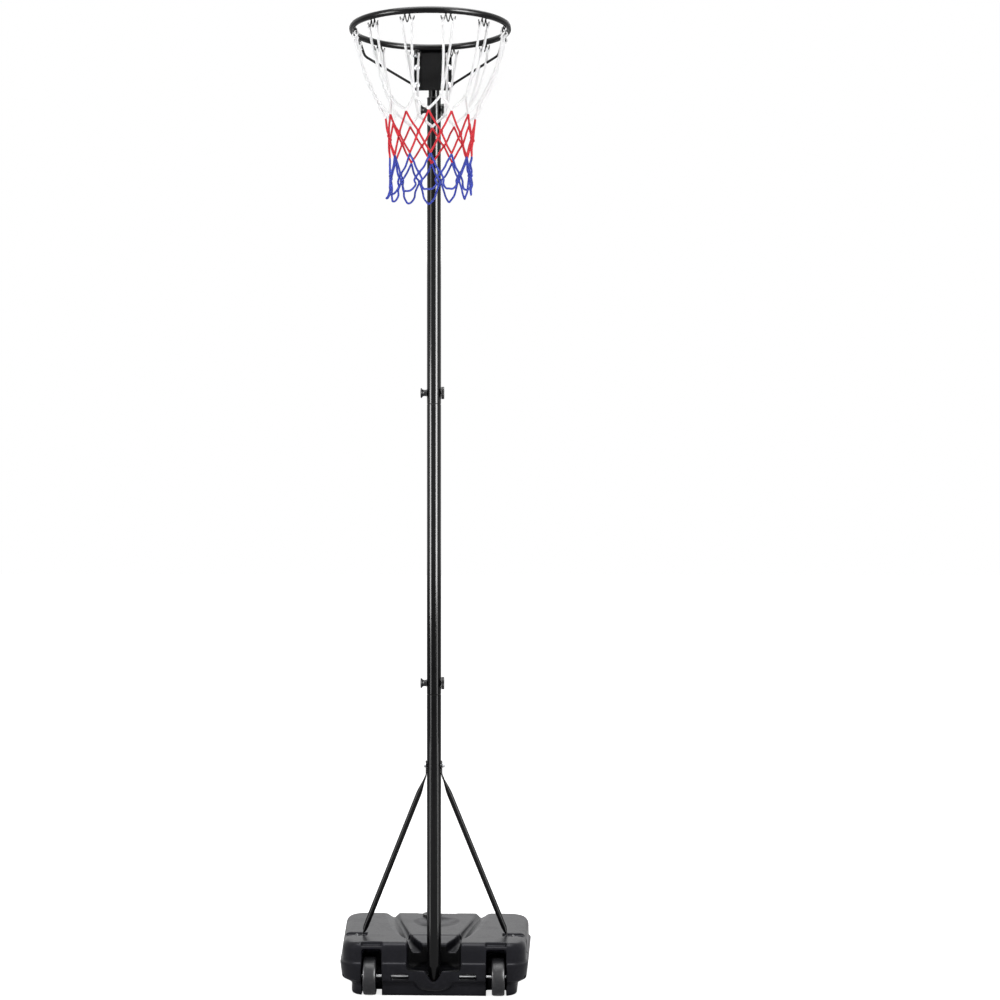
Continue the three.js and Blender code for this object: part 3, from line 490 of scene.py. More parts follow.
def cord_finish(name, colour, shadow):
    """A braided cord, with painted shade darkening the valleys between its strands."""
    material, tree, shader = fresh_material(name, 0.12)
    braid = wired(tree, "ShaderNodeGroup", {"Pitch": 0.007, "Depth": 0.0003}, node_tree=BRAID)
    tree.links.new(two_shades(tree, braid.outputs["Valley"], colour, shadow), shader.inputs["Base Color"])
    tree.links.new(braid.outputs["Normal"], shader.inputs["Normal"])
    scuffed_gloss(tree, shader, 0.75, 0.95, Scale=120.0)
    shader.inputs["Sheen Weight"].default_value = 0.05
    return material


PAINT = finish(
    "gloss_black_paint", (0.002, 0.002, 0.0023), (0.004, 0.004, 0.0045), 0.11, 0.14,
    grain=(400.0, 0.0000003), scuffs=(5.0, 0.4, 0.75), specular=0.21,
)
POWDER = finish(
    "satin_black_powder", (0.002, 0.002, 0.0023), (0.0045, 0.0045, 0.005), 0.2, 0.28,
    grain=(1100.0, 0.000003), scuffs=(8.0, 0.4, 0.75), specular=0.2,
)
METAL = {"metallic": 1.0, "grain": (1500.0, 0.00002)}
ZINC = finish("zinc_plate", (0.62, 0.63, 0.65), (0.5, 0.5, 0.49), 0.28, 0.5, **METAL)
ROD = finish("bright_drawn_rod", (0.86, 0.87, 0.88), (0.75, 0.75, 0.75), 0.42, 0.55, **METAL)
DARK_ZINC = finish("dark_zinc_plate", (0.05, 0.05, 0.052), (0.09, 0.09, 0.088), 0.35, 0.5, **METAL)
PLASTIC = finish(
    "black_plastic", (0.006, 0.006, 0.0065), (0.015, 0.015, 0.016), 0.34, 0.5, grain=(1200.0, 0.00005), specular=0.3,
)
TYRE = finish(
    "wheel_plastic", (0.014, 0.014, 0.016), (0.026, 0.026, 0.028), 0.36, 0.52, grain=(900.0, 0.00006), specular=0.35,
)
TANK = finish(
    "tank_plastic", (0.007, 0.007, 0.0092), (0.0125, 0.0125, 0.016), 0.3, 0.4,
    grain=(700.0, 0.00008), scuffs=(14.0, 0.48, 0.72), specular=0.17, tint=(0.94, 0.94, 1),
)
# Painted shade: a darker, less reflective copy of the tank plastic for the faces inside the foot's cavity.
TANK_PAINTED_SHADE = finish(
    "tank_plastic_painted_shade", (0.004, 0.004, 0.0045), (0.007, 0.007, 0.008), 0.55, 0.65,
    grain=(700.0, 0.00008), specular=0.08,
)
SEAL = finish("seal_rubber", (0.012, 0.012, 0.012), (0.02, 0.02, 0.02), 0.7, 0.85)
WATER = finish("ballast_water", (0.3, 0.42, 0.5), (0.25, 0.36, 0.45), 0.06, 0.1, grain=(40.0, 0.001))
# The second colour of each cord is painted shade for the valleys between its strands.
WHITE = cord_finish("white_cord", (0.98, 0.98, 0.98), (0.86, 0.86, 0.87))
RED = cord_finish("red_cord", (0.86, 0.035, 0.055), (0.4, 0.012, 0.02))
BLUE = cord_finish("blue_cord", (0.065, 0.1, 0.62), (0.022, 0.03, 0.22))

def coated(piece, look):
    piece.data.materials.clear()
    piece.data.materials.append(look)


# The finishes of each slot. The first of them is also for the nodes that keep their solid.
SLOTS = {
    "black_paint": (PAINT, POWDER), "zinc_steel": (ZINC, ROD, DARK_ZINC), "black_plastic": (PLASTIC, TYRE),
    "tank_plastic": (TANK,), "rubber": (SEAL,), "water": (WATER,), "white_cord": (WHITE,), "red_cord": (RED,),
    "blue_cord": (BLUE,),
}
for part in frame["record"]["subparts"]:
    carried = frame["nodes"][part["node"]]
    coated(carried, SLOTS[part["material_slot"]][0])


def dressed(piece, body, look, *stood_for, angle=32):
    """The piece gets its finish, rides on its body and stands for its nodes."""
    alone(piece)
    bpy.ops.object.shade_smooth_by_angle(angle=math.radians(angle))
    coated(piece, look)
    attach(piece, body)
    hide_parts(*stood_for)
    return piece


def cube(name, x0, x1, y0, y1, z0, z1, bevel=0.0, segments=3):
    bpy.ops.mesh.primitive_cube_add(size=1)
    piece = newest(name)
    piece.data.transform(Matrix.Diagonal(((x1 - x0) * MM, (y1 - y0) * MM, (z1 - z0) * MM, 1)))
    placed(piece, (x0 + x1) / 2, (y0 + y1) / 2, (z0 + z1) / 2)
    return bevelled(piece, bevel, segments) if bevel else piece


def ribs_round(count, box, bevel):
    """Ribs set evenly round the Z axis."""
    ribs = [cube("rib", *box, bevel, 2) for k in range(count)]
    for k, rib in enumerate(ribs):
        rib.data.transform(Matrix.Rotation(math.tau * k / count, 4, "Z"))
    return ribs


def prism(name, outline, low, high, way):
    """An outline drawn out along X, Y or Z."""
    order = {"X": (2, 0, 1), "Y": (0, 2, 1), "Z": (0, 1, 2)}[way]
    rings = [[tuple((a, b, c)[i] for i in order) for a, b in outline] for c in (low, high)]
    return facing_out(skinned(name, rings))


def on_side(side, near, far):
    """The lower and the upper x of a stretch that is mirrored for the left side."""
    return sorted((side * near, side * far))


# Tank: outline drawn up level by level, hollows carved out, edges melted soft like a blown bottle
def tank_blank():
    piece = sheet("tank_shell", TANK_MIDDLE, TANK_HALF_FRONT, TANK_HALF_DEPTH)
    for corner in piece.data.vertices:
        if corner.co.y > TANK_MIDDLE * MM:
            corner.co.x *= TANK_HALF_REAR / TANK_HALF_FRONT
    corners_rounded(TANK_CORNER, 10)
    bpy.ops.mesh.select_all(action="SELECT")
    # Each level has its height and how far it is set in at the sides, the front and the rear
    levels = [
        (0, 33, 27, 27), (3, 31, 25, 25), (28, 31, 25, 25), (36, 22, 18, 18), (45, 6.5, 6.5, 6.5), (50, 5, 5, 5),
        (87, 0.2, 0.2, 0.2), (89.5, 0.5, 0.5, 0.5), (92, 5.2, 5.2, 5.2), (96, 6, 6, 6),
    ]
    for step in range(11):
        angle = step / 10 * math.pi / 2
        roll = 1 - math.cos(angle)
        rise = (TANK_TOP - TANK_SHOULDER) * math.sin(angle)
        levels.append((TANK_SHOULDER + rise, 6.4 + 18 * roll, 6.4 + 18 * roll, 6.4 + 4 * roll))
    half_width, depth = 258, 2 * TANK_HALF_DEPTH
    side, front, rear, height = 0, 0, 0, 0
    for level, side_in, front_in, rear_in in levels:
        if level:
            drawn_up(level - height)
        middle = TANK_MIDDLE + (front - rear) / 2
        share = ((half_width - side_in) / (half_width - side), (depth - front_in - rear_in) / (depth - front - rear), 1)
        bpy.ops.transform.resize(value=share, center_override=(0, middle * MM, 0))
        shift = (front_in - rear_in) / 2 - (front - rear) / 2
        bpy.ops.transform.translate(value=(0, shift * MM, 0))
        side, front, rear, height = side_in, front_in, rear_in, level
    bpy.ops.object.mode_set(mode="OBJECT")
    return facing_out(piece)


def tank_channel(side):
    """A storage channel: upright inner wall, floor that rises gently outwards, and a scoop at its front end."""
    stations = (
        (410, 114, 132, 4, 150), (365, 111, 132, 4, 147), (330, 108, 133, 4, 144), (262, 99, 134.5, 4, 134),
        (150, 79, 132.5, 5, 116), (112, 72, 130, 6, 106), (92, 68, 128.5, 8, 102), (75, 63, 125, 11, 96),
        (58, 55, 119.5, 16, 90), (40, 43, 113.5, 20, 82), (24, 31, 107, 24, 74), (-20, 26, 100, 28, 74),
    )
    rings = []
    for y, wall, base, flat, top in stations:
        lean = 9 if y > 350 else 5 if y > 300 else 1.5
        edge = wall + lean + 3 + flat
        outline = (
            (wall - 3, 185), (wall - 3, 146.5), (wall, 144), (wall + lean, base + 4), (wall + lean + 3, base),
            (edge, base), (edge + (top - edge) * 0.35, base + (TANK_TOP - base) * 0.3),
            (edge + (top - edge) * 0.75, base + (TANK_TOP - base) * 0.78), (top, 144), (top + 9, 146.4), (top + 9, 185),
        )
        rings.append([(side * x, y, z) for x, z in outline])
    return facing_out(skinned("channel", rings))


def wheel_opening(side):
    """The deep arch for a wheel, open below and in front, and the shallow cut over the lip of its mouth."""
    deep = ((-80, -40), (56, -40), (56, 60), (42, 90), (20, 108), (-6, 118), (-20, 127.5), (-80, 127.5))
    shallow = ((-80, 134), (-14, 134.5), (-14, 190), (-80, 190))
    middle = side * 165.5
    return (
        bevelled(prism("opening", deep, middle - 26.5, middle + 26.5, "X"), 5, 3),
        bevelled(prism("mouth", shallow, middle - 27.5, middle + 27.5, "X"), 2, 2),
    )


def foot_cavity():
    """Space round the post's foot: upright walls, and a slope from the top down to the back one."""
    slope = [(24, 123), (24.6, 126.5), (26.6, 129.6), (30, 132), (45, 136), (62, 140.5), (82, 145.3)]
    outline = [(-90, 72), (24, 72), *slope, (82, 190), (-90, 190)]
    return bevelled(prism("cavity", outline, -72.5, 72.5, "X"), 9, 4, angle=60)


def in_hollow(place):
    """Inside the foot's cavity, where the tank's faces get painted shade: a darker, less glossy plastic."""
    return abs(place.x) < 71.8 and -32 < place.y < 25.6 and 69 < place.z < 124


def tank():
    shell = tank_blank()
    bowl = turned("bowl", (
        (0, 12), (28, 13.5), (44, 19), (54, 28), (61, 40), (65.5, 54), (68, 66), (68, 72), (0, 72),
    ))
    bowl.data.transform(Matrix.Diagonal((1, 42 / 68, 1, 1)))
    carved(shell, bowl, "UNION")
    carved(shell, foot_cavity())
    well = turned("well", ((0, 40), (30, 44), (52, 54), (62, 66), (64, 80), (0, 80)), 48)
    well.data.transform(Matrix.Diagonal((1, 34 / 68, 1, 1)))
    carved(shell, well)
    carved(shell, prism("notch", (
        (-23, 90), (-23, 72), (-17, 60), (-9, 47), (-5, 43), (0, 42), (5, 43), (9, 47), (17, 60), (23, 72), (23, 90),
    ), -90, -8, "Y"))
    near, far = BRACE_FOOT[1] - 20, BRACE_FOOT[1] + 20
    slot_outline = ((-90, 38), (-20, 45), (8, 45.5), (8, 57), (-12, 57), (-36, 64), (-90, 80))
    for side in (-1, 1):
        carved(shell, tank_channel(side))
        for opening in wheel_opening(side):
            carved(shell, opening)
        carved(shell, cube("groove", *on_side(side, 183, 300), near, far, 137, 190, 5))
        carved(shell, cube("groove_side", *on_side(side, 246, 300), near, far, 91, 190, 4))
        carved(shell, bevelled(prism("slot", slot_outline, *on_side(side, 68, 113), "X"), 2))
    bpy.ops.mesh.primitive_uv_sphere_add(segments=96, ring_count=64, radius=BALL_REST_RADIUS * MM)
    ball = newest("ball_rest")
    carved(shell, placed(ball, BALL_REST[0], BALL_REST[1], BALL_REST[2] + BALL_REST_RADIUS))
    carved(shell, cube("rear_step", -55, 55, 351, 420, 121, 200, 5))
    carved(shell, plug("post_well", 19.6, 25.7, 200, 48))
    carved(shell, placed(laid_along_x(plug("bore", 6, -300, 300)), z=AXLE_HEIGHT))
    for side in (-1, 1):
        carved(shell, cube("clip", *on_side(side, 60, 72), 88, 102, 124, 140, 2, 2), "UNION")
    carved(shell, placed(plug("filler_seat", 22, 138, 160, 64), *FILLER))
    modified(shell, "REMESH", mode="VOXEL", voxel_size=SKIN_STEP, use_smooth_shade=True)
    modified(shell, "SMOOTH", factor=0.5, iterations=3)
    modified(shell, "DECIMATE", ratio=SKIN_KEPT)
    dressed(shell, "base", TANK, "base_tank", angle=75)
    # The faces inside the foot's cavity get the painted shade, a darker and less glossy copy of the tank plastic.
    shell.data.materials.append(TANK_PAINTED_SHADE)
    for face in shell.data.polygons:
        face.material_index = int(in_hollow(face.center / MM))


# Wheels: smooth tread with rounded edges, dished sides, hub and spokes
def wheel(side, sign):
    half = (
        (4.4, 17), (14, 17), (15, 16), (15, 6), (17, 5), (39, 5), (41, 6), (41, 16), (42, 17),
        (46, 17), (48, 16.2), (49.2, 14.6), (49.8, 12), (50, 6),
    )
    near_half = [(radius, -height) for radius, height in half]
    tyre = turned("tyre", (*near_half, *half[::-1], near_half[0]), 72)
    whole = joined([tyre, *ribs_round(6, (14, 42, -2, 2, -13, 13), 0.8)], f"wheel_{side}_tyre")
    placed(laid_along_x(whole), x=sign * WHEEL_X, z=AXLE_HEIGHT)
    dressed(whole, f"wheel_{side}", TYRE, f"wheel_{side}")


# Post tubes with drawn-down necks and their rows of holes
def neck_holes(joint):
    return [joint + FIRST_NECK_HOLE + k * HEIGHT_TRAVEL / (NECK_HOLES - 1) for k in range(NECK_HOLES)]


def necked_tube(name, start, joint):
    top = joint + NECK_LENGTH
    inner = POST_RADIUS - POST_WALL
    bore = NECK_RADIUS - POST_WALL
    return turned(name, (
        (inner, start), (POST_RADIUS - 0.5, start), (POST_RADIUS, start + 0.6), (POST_RADIUS, joint - 1.5),
        (POST_RADIUS - 0.6, joint - 0.2), (NECK_RADIUS, joint), (NECK_RADIUS, top - 1), (NECK_RADIUS - 0.6, top),
        (bore, top), (bore, joint - 2), (inner, joint - 6), (inner, start),
    ))


def plain_tube(name, start, top):
    inner, rim = POST_RADIUS - POST_WALL, POST_RADIUS - 0.5
    return turned(name, (
        (inner, start), (rim, start), (POST_RADIUS, start + 0.6), (POST_RADIUS, top - 0.6), (rim, top),
        (inner, top), (inner, start),
    ))


def post_tubes():
    (foot, middle, top), (low_joint, high_joint) = TUBE_STARTS, JOINT_HEIGHTS
    low_pin, high_pin, hoop_pin = (height for name, height in CLAMP_HEIGHTS)
    lower = necked_tube("lower_tube", foot, low_joint), neck_holes(low_joint) + [BRACE_TOP]
    middle = necked_tube("middle_tube", middle, high_joint), neck_holes(high_joint) + [low_pin]
    upper = plain_tube("upper_tube", top, UPPER_TOP), [high_pin, hoop_pin]
    for (tube, heights), body, node in (
        (lower, "base", "lower_post"), (middle, "middle_post", "middle_post"), (upper, "hoop_post", "upper_post"),
    ):
        for height in heights:
            carved(tube, placed(laid_along_x(plug("drill", PIN_HOLE_RADIUS, -60, 60)), z=height))
        dressed(tube, body, PAINT, node, angle=20)


# Clamps: a thumb bolt on the left and a lobed knob on the right of each joint
def clamps():
    outline = []
    for i in range(96):
        angle = math.tau * i / 96
        reach = KNOB_REACH - KNOB_DIP * (1 - math.cos(KNOB_LOBES * angle))
        outline.append((reach * math.cos(angle), reach * math.sin(angle)))
    for name, height in CLAMP_HEIGHTS:
        bolt_node, knob_node = f"{name}_clamp_bolt", f"{name}_clamp_knob"
        bolt = turned(f"{name}_thumb_bolt", (
            (0, -35.4), (10, -35.8), (12.6, -35.6), (13.4, -34.8), (13.5, -33.4), (12.9, -32.2), (10.8, -30.8),
            (9.4, -29.4), (8.6, -27.4), (8.4, -24.5), (8.8, -21.4), (9.4, -19.3), (4, -19.3), (4, 26.6),
            (3.4, 27.2), (0, 27.2),
        ), 48)
        placed(laid_along_x(bolt), z=height)
        dressed(bolt, bolt_node, PLASTIC, bolt_node)
        knob = bevelled(prism(f"{name}_lobed_knob", outline, 0.3, 8, "Z"), 1.2, 3)
        carved(knob, plug("knob_bore", PIN_HOLE_RADIUS, -1, 12, 32))
        carved(knob, turned("knob_dish", ((0, 7), (9, 7), (10.5, 9), (0, 9)), 48))
        placed(laid_along_x(knob), x=POST_RADIUS + SEAT, z=height)
        dressed(knob, knob_node, PLASTIC, knob_node)


# Braces: round tube pressed flat at both ends
def tube_ring(centre, across, along, wide, thin, press):
    """A ring of points round the centre. A press over 1 gives it two flat faces."""
    ring = []
    for i in range(28):
        angle = math.tau * (i + 0.5) / 28
        rise = max(-1, min(1, press * math.sin(angle)))
        ring.append(centre + across * (wide * math.cos(angle)) + along * (thin * rise))
    return ring


def tapered_ring(centre, across, along, flatness):
    """A ring on the way from round tube to flat end, by a flatness from 0 to 1."""
    wide = BRACE_RADIUS + (FLAT_HALF_WIDTH - BRACE_RADIUS) * flatness
    thin = BRACE_RADIUS + (FLAT_HALF_THICKNESS - BRACE_RADIUS) * flatness
    return tube_ring(centre, across, along, wide, thin, 1 + (FLAT_PRESS - 1) * flatness)


def brace():
    """Flat tab down the post, a bend out of it, a round tube, and a flat foot on the tank."""
    top = Vector((POST_RADIUS + SEAT + FLAT_HALF_THICKNESS, 0, BRACE_TOP))
    foot = Vector(BRACE_FOOT)
    tab_down = Vector((0, foot.y, foot.z - top.z)).normalized()
    tab_across = X_WAY.cross(tab_down) * -1
    bend = top + tab_down * BRACE_TAB
    down = (foot - bend).normalized()
    across = (Y_WAY - down * down.y).normalized()
    along = down.cross(across)
    flat, thick = FLAT_HALF_WIDTH, FLAT_HALF_THICKNESS
    rings = [
        tube_ring(top + tab_down * reach, tab_across, X_WAY, wide, thin, FLAT_PRESS)
        for reach, wide, thin in (
            (-12, 4, 1.0), (-11, 6.5, thick), (-8, 9, thick), (-3, flat, thick), (12, flat, thick), (25, flat, thick),
        )
    ]
    for share in (0.08, 0.25, 0.42, 0.58, 0.75, 0.9):
        ease = share * share * (3 - 2 * share)
        u = tab_across.lerp(across, min(1, share * 2.5)).normalized()
        v = X_WAY.lerp(along, min(1, share * 2.5)).normalized()
        rings.append(tapered_ring(bend + down * BRACE_TOP_RUN * share, u, v, 1 - ease))
    start, end = bend + down * BRACE_TOP_RUN, foot - down * BRACE_FOOT_RUN
    for step in range(9):
        rings.append(tapered_ring(start.lerp(end, step / 8), across, along, 0))
    for share in (0.3, 0.6, 0.85):
        ease = share * share * (3 - 2 * share)
        u, v = across.lerp(Y_WAY, ease).normalized(), along.lerp(Z_WAY, ease).normalized()
        rings.append(tapered_ring(end.lerp(foot, share), u, v, ease))
    for reach, wide in ((3, flat), (18, flat), (23, 9), (26, 6.5), (27, 4)):
        rings.append(tube_ring(foot + X_WAY * reach, Y_WAY, Z_WAY, wide, thick, FLAT_PRESS))
    return facing_out(skinned("brace_tube_right", rings))


def hex_bolt(name, radius, grip, plain_head=False):
    """A bolt along Z: a head with a thin bearing face below 0, the shank through the grip and a nut above it."""
    head = radius * 1.75
    if plain_head:
        top = turned("head", (
            (0, -4.6), (head * 0.5, -4.3), (head * 0.85, -2.8), (head, -0.8), (head, 0), (0, 0),
        ), 32)
    else:
        top = turned("head", ((0, -5), (head * 0.86, -5), (head, -4.2), (head, 0), (0, 0)), 6)
    wide = head * 1.12
    face = turned("bearing_face", ((radius, -0.1), (wide, -0.1), (wide, 0.0), (radius, 0.0), (radius, -0.1)), 32)
    shank = turned("shank", ((0, -1), (radius, -1), (radius, grip + 7), (radius * 0.8, grip + 8), (0, grip + 8)), 24)
    nut = turned("nut", ((0, grip), (head, grip), (head, grip + 5.2), (head * 0.86, grip + 6.2), (0, grip + 6.2)), 6)
    return joined([top, face, shank, nut], name)


def braces():
    right = brace()
    dressed(mirrored(right, "brace_tube_left"), "base", PAINT, "brace_left", angle=50)
    dressed(right, "base", PAINT, "brace_right", angle=50)
    outside = POST_RADIUS + SEAT + 2 * FLAT_HALF_THICKNESS
    bolt = hex_bolt("brace_through_bolt", BOLT_RADIUS, 2 * outside)
    placed(laid_along_x(bolt), x=-outside, z=BRACE_TOP)
    dressed(bevelled(bolt, 0.3), "base", ZINC, "brace_bolt")
    for name, sign in SIDES:
        screw = turned("screw", (
            (0, -18), (1.8, -18), (3, -15), (3, 0), (5.25, 0), (5.25, 1.2), (4.6, 3), (3, 4.2), (1.2, 4.6), (0, 4.6),
        ), 32)
        carved(screw, cube("slot_cut", -5.2, 5.2, -0.5, 0.5, 3.2, 6))
        carved(screw, cube("slot_cut", -0.5, 0.5, -5.2, 5.2, 3.2, 6))
        named(screw, f"brace_foot_screw_{name}")
        placed(screw, sign * (BRACE_FOOT[0] + 13.5), BRACE_FOOT[1], BRACE_FOOT[2] + FLAT_HALF_THICKNESS + SEAT)
        dressed(screw, "base", DARK_ZINC, f"brace_screw_{name}")


# Hoop head: stub tube with its bush and cap, folded bracket, bolted plate
def stub_and_bracket():
    for name, look, node, profile in (
        ("hoop_neck_tube", PAINT, "hoop_stub", (
            (13.2, 2270.1), (14.6, 2270.1), (15, 2270.7), (15, 2505.5), (13.2, 2505.5), (13.2, 2270.1),
        )),
        ("hoop_neck_bush", PLASTIC, "hoop_stub_bush", (
            (15.3, 2330.1), (17.2, 2330.1), (17.2, 2390.4), (18.7, 2390.4), (19, 2390.8), (19, 2392.4),
            (18.2, 2393.1), (15.3, 2393.1), (15.3, 2330.1),
        )),
        ("hoop_neck_cap", PLASTIC, "hoop_stub_cap", (
            (0, 2491.7), (12.9, 2491.7), (12.9, 2506), (15, 2506), (15, 2507.2), (14.2, 2508), (10, 2508.2),
            (0, 2508.2),
        )),
    ):
        dressed(turned(name, profile, 56), "hoop_post", look, node)
    outer, inner, edge = BRACKET_HALF_WIDTH, BRACKET_HALF_WIDTH - 3, PLATE_HALF_WIDTH
    front = PLATE_FRONT + PLATE_THICKNESS + SEAT
    outline = (
        (-edge, front), (-inner, front), (-inner, inner), (inner, inner), (inner, front), (edge, front),
        (edge, FLANGE_REAR), (outer, FLANGE_REAR), (outer, outer), (-outer, outer), (-outer, FLANGE_REAR),
        (-edge, FLANGE_REAR),
    )
    bracket = bevelled(prism("hoop_bracket_sheet", outline, 2421.7, BRACKET_TOP, "Z"), 1.1, 3)
    dressed(bracket, "hoop_post", POWDER, "hoop_bracket")


def face_plate():
    rim = []
    for x, z, turn in ((1, 1, 0), (-1, 1, 1), (-1, -1, 2), (1, -1, 3)):
        for k in range(7):
            angle = (turn + k / 6) * math.pi / 2
            rim.append((
                x * (PLATE_HALF_WIDTH - PLATE_CORNER) + PLATE_CORNER * math.cos(angle),
                PLATE_TOP + (z - 1) * PLATE_HALF_HEIGHT - z * PLATE_CORNER + PLATE_CORNER * math.sin(angle),
            ))
    plate = bevelled(prism("hoop_face_plate", rim, PLATE_FRONT, PLATE_FRONT + PLATE_THICKNESS, "Y"), 0.8, 3)
    dressed(plate, "hoop_post", POWDER, "hoop_plate")


def hoop_bolts():
    """The plate's bolts, of which the lowest pair also holds the struts, and two bolts across the bracket."""
    for row, drop in (("upper", 21), ("middle", 55), ("lower", LOWEST_BOLT_DROP)):
        lowest = row == "lower"
        front = PLATE_FRONT - (2 * FLAT_HALF_THICKNESS + SEAT if lowest else 0)
        back = PLATE_FRONT + PLATE_THICKNESS if lowest else FLANGE_REAR
        for name, sign in SIDES:
            bolt = bevelled(hex_bolt("bolt", BOLT_RADIUS, back - front, plain_head=True), 0.25)
            named(bolt, f"face_bolt_{row}_{name}")
            placed(laid_along_y(bolt), sign * PLATE_BOLT_X, front, PLATE_TOP - drop)
            dressed(bolt, "hoop_post", ZINC, f"plate_bolt_{row}_{name}")
    for name, drop in (("upper", 18), ("lower", 68)):
        bolt = bevelled(hex_bolt("cross", BOLT_RADIUS, 2 * BRACKET_HALF_WIDTH), 0.25)
        named(bolt, f"bracket_cross_bolt_{name}")
        placed(laid_along_x(bolt), -BRACKET_HALF_WIDTH, 0, BRACKET_TOP - drop)
        dressed(bolt, "hoop_post", ZINC, f"bracket_bolt_{name}")


# Hoop: ring with its weld beads, struts and wire hooks
def around(x, y, z, angle):
    """A place given by distance from the ring's middle, sideways step and height over the ring's plane."""
    return Vector((
        x * math.cos(angle) - y * math.sin(angle),
        RING_CENTRE + x * math.sin(angle) + y * math.cos(angle),
        RING_PLANE + z,
    ))


def bead(places, radius):
    """A weld's uneven bead, thin at both ends."""
    sizes = [radius * (0.85 + 0.2 * math.sin(9.1 * k) ** 2) for k in range(len(places))]
    sizes[0] = sizes[-1] = radius * 0.4
    return drawn("bead", places, sizes)


def ring():
    path = [around(RING_RADIUS, 0, 0, math.tau * k / 144) for k in range(144)]
    parts = [drawn("ring_bar", path, RING_BAR, 24, looped=True)]
    for sign in (-1, 1):
        parts.append(bead([
            Vector((x, PLATE_FRONT - 1.2 - (x / 46) ** 2 * 5.2, RING_PLANE + sign * (5.2 - abs(x) / 46 * 2.2)))
            for x in range(-44, 45, 4)
        ], 2.1))
    for angle in (math.pi - STRUT_ROOT, STRUT_ROOT):
        middle = around(RING_RADIUS, 0, -8.6, angle)
        for k in range(2):
            turns = [math.pi * (k + step / 8) for step in range(9)]
            parts.append(bead([middle + Vector((math.cos(t), math.sin(t), 0)) * 3.6 for t in turns], 1.3))
    dressed(joined(parts, "hoop_ring_bar"), "hoop_post", POWDER, "hoop_ring", angle=60)


def struts():
    start = around(RING_RADIUS, 0, -RING_BAR - SEAT, STRUT_ROOT)
    bend = around(RING_RADIUS, 0, -44, STRUT_BEND)
    thick = FLAT_HALF_THICKNESS
    tab = Vector((PLATE_BOLT_X, PLATE_FRONT - SEAT - thick, PLATE_TOP - LOWEST_BOLT_DROP))
    root = tab + X_WAY * 7
    way = (root - bend).normalized()
    neck = root - way * 15
    path = [start, start.lerp(bend, 0.4), start.lerp(bend, 0.75)]
    before, after = start.lerp(bend, 0.8), bend.lerp(neck, 0.06)
    for t in (0.2, 0.5, 0.8):
        path.append(before.lerp(bend, t).lerp(bend.lerp(after, t), t))
    for share in (0.06, 0.2, 0.4, 0.6, 0.8, 1):
        path.append(bend.lerp(neck, share))
    rod = drawn("rod", path, STRUT_RADIUS, 16)
    tongue = skinned("tongue", [
        tube_ring(place, Z_WAY, -Y_WAY, wide, thin, press) for place, wide, thin, press in (
            (neck, STRUT_RADIUS, STRUT_RADIUS, 1.0), (neck + way * 6, 4.6, 2.6, 1.15),
            (tab + X_WAY * 7.5, 6.4, thick, FLAT_PRESS), (tab + X_WAY * 3, 7, thick, FLAT_PRESS),
            (tab - X_WAY * 3.5, 7, thick, FLAT_PRESS), (tab - X_WAY * 6.3, 4.6, thick, FLAT_PRESS),
            (tab - X_WAY * 7, 2.4, 1.2, FLAT_PRESS),
        )
    ])
    right = joined([rod, tongue], "hoop_strut_right")
    dressed(mirrored(right, "hoop_strut_left"), "hoop_post", POWDER, "ring_strut_left", angle=50)
    dressed(right, "hoop_post", POWDER, "ring_strut_right", angle=50)


# Half a hook from its end to its middle bend: share of its half width outwards and of its depth downwards
HALF_HOOK = ((1, 0.25), (0.9, 0.68), (0.68, 0.8), (0.5, 0.6), (0.33, 0), (0.14, 0.75))
HOOK_SHARES = [(-across, down) for across, down in HALF_HOOK] + [(0, 1), *HALF_HOOK[::-1]]


def hook_angle(k):
    return (k + 0.5) / HOOKS * math.tau


def hooks():
    for k in range(HOOKS):
        angle = hook_angle(k)
        parts = [drawn("wire", eased([
            around(HOOK_RADIUS, across * HOOK_HALF_WIDTH, HOOK_TOP - down * HOOK_DEPTH, angle)
            for across, down in HOOK_SHARES
        ]), 1.5)]
        for across in (-0.33, 0.33):
            parts.append(bead([
                around(HOOK_RADIUS + 1.2, across * HOOK_HALF_WIDTH + step, HOOK_TOP + 0.9, angle)
                for step in (-3, -1.5, 0, 1.5, 3)
            ], 1.4))
        whole = joined(parts, f"net_wire_hook_{k + 1:02d}")
        dressed(whole, "hoop_post", POWDER, f"net_hook_{k + 1:02d}", angle=60)


# Net: endless cords that zigzag from knot to knot, each colour looped into the one above
def stray(row, k, kind):
    """How far a knot or bend is off its even place, from -1 to 1."""
    return math.sin(12.9 * k + 7.3 * row + 2.1 * kind)


def knot_place(row, k):
    angle = hook_angle(k if row % 2 == 0 else k - 0.5)
    reach = NET_STRAY[row]
    return around(
        NET_RADII[row] + 0.6 * reach * stray(row, k, 0), reach * stray(row, k, 1),
        reach * stray(row, k, 2) - NET_DROPS[row], angle,
    )


def zigzag(row, size, hang, slack, loose):
    """A cord between two rows: slack is how far its runs sag, and loose how wide its lower bends hang open."""
    path = []
    for k in range(HOOKS):
        order = ((row + 1, k), (row, k)) if row % 2 == 0 else ((row, k), (row + 1, k))
        for level, column in order:
            place = knot_place(level, column)
            if level == row:
                place.z -= hang
            path.append((place, level > row, loose * (0.7 + 0.6 * stray(level, column, 3))))
    line = []
    for i, (place, low, free) in enumerate(path):
        sway = stray(row, i, 4)
        out = Vector((place.x, place.y - RING_CENTRE, 0)).normalized()
        steps = []
        for other in (path[i - 1][0], path[(i + 1) % len(path)][0]):
            run = other - place
            level_run = Vector((run.x, run.y, 0))
            near = place + run * 0.1
            far = place + run * 0.36 + out * (slack * sway)
            far.z -= slack * (1 + 0.6 * sway)
            if low:
                near += level_run * (free * 0.18)
                near.z -= free * 2.5
                far += level_run * (free * 0.22)
            steps.append([far, near])
        line += [*steps[0], place + Z_WAY * (size * (-0.3 if low else 0.3)), *steps[1][::-1]]
    return drawn("zigzag", eased(line, 3, looped=True), size, looped=True)


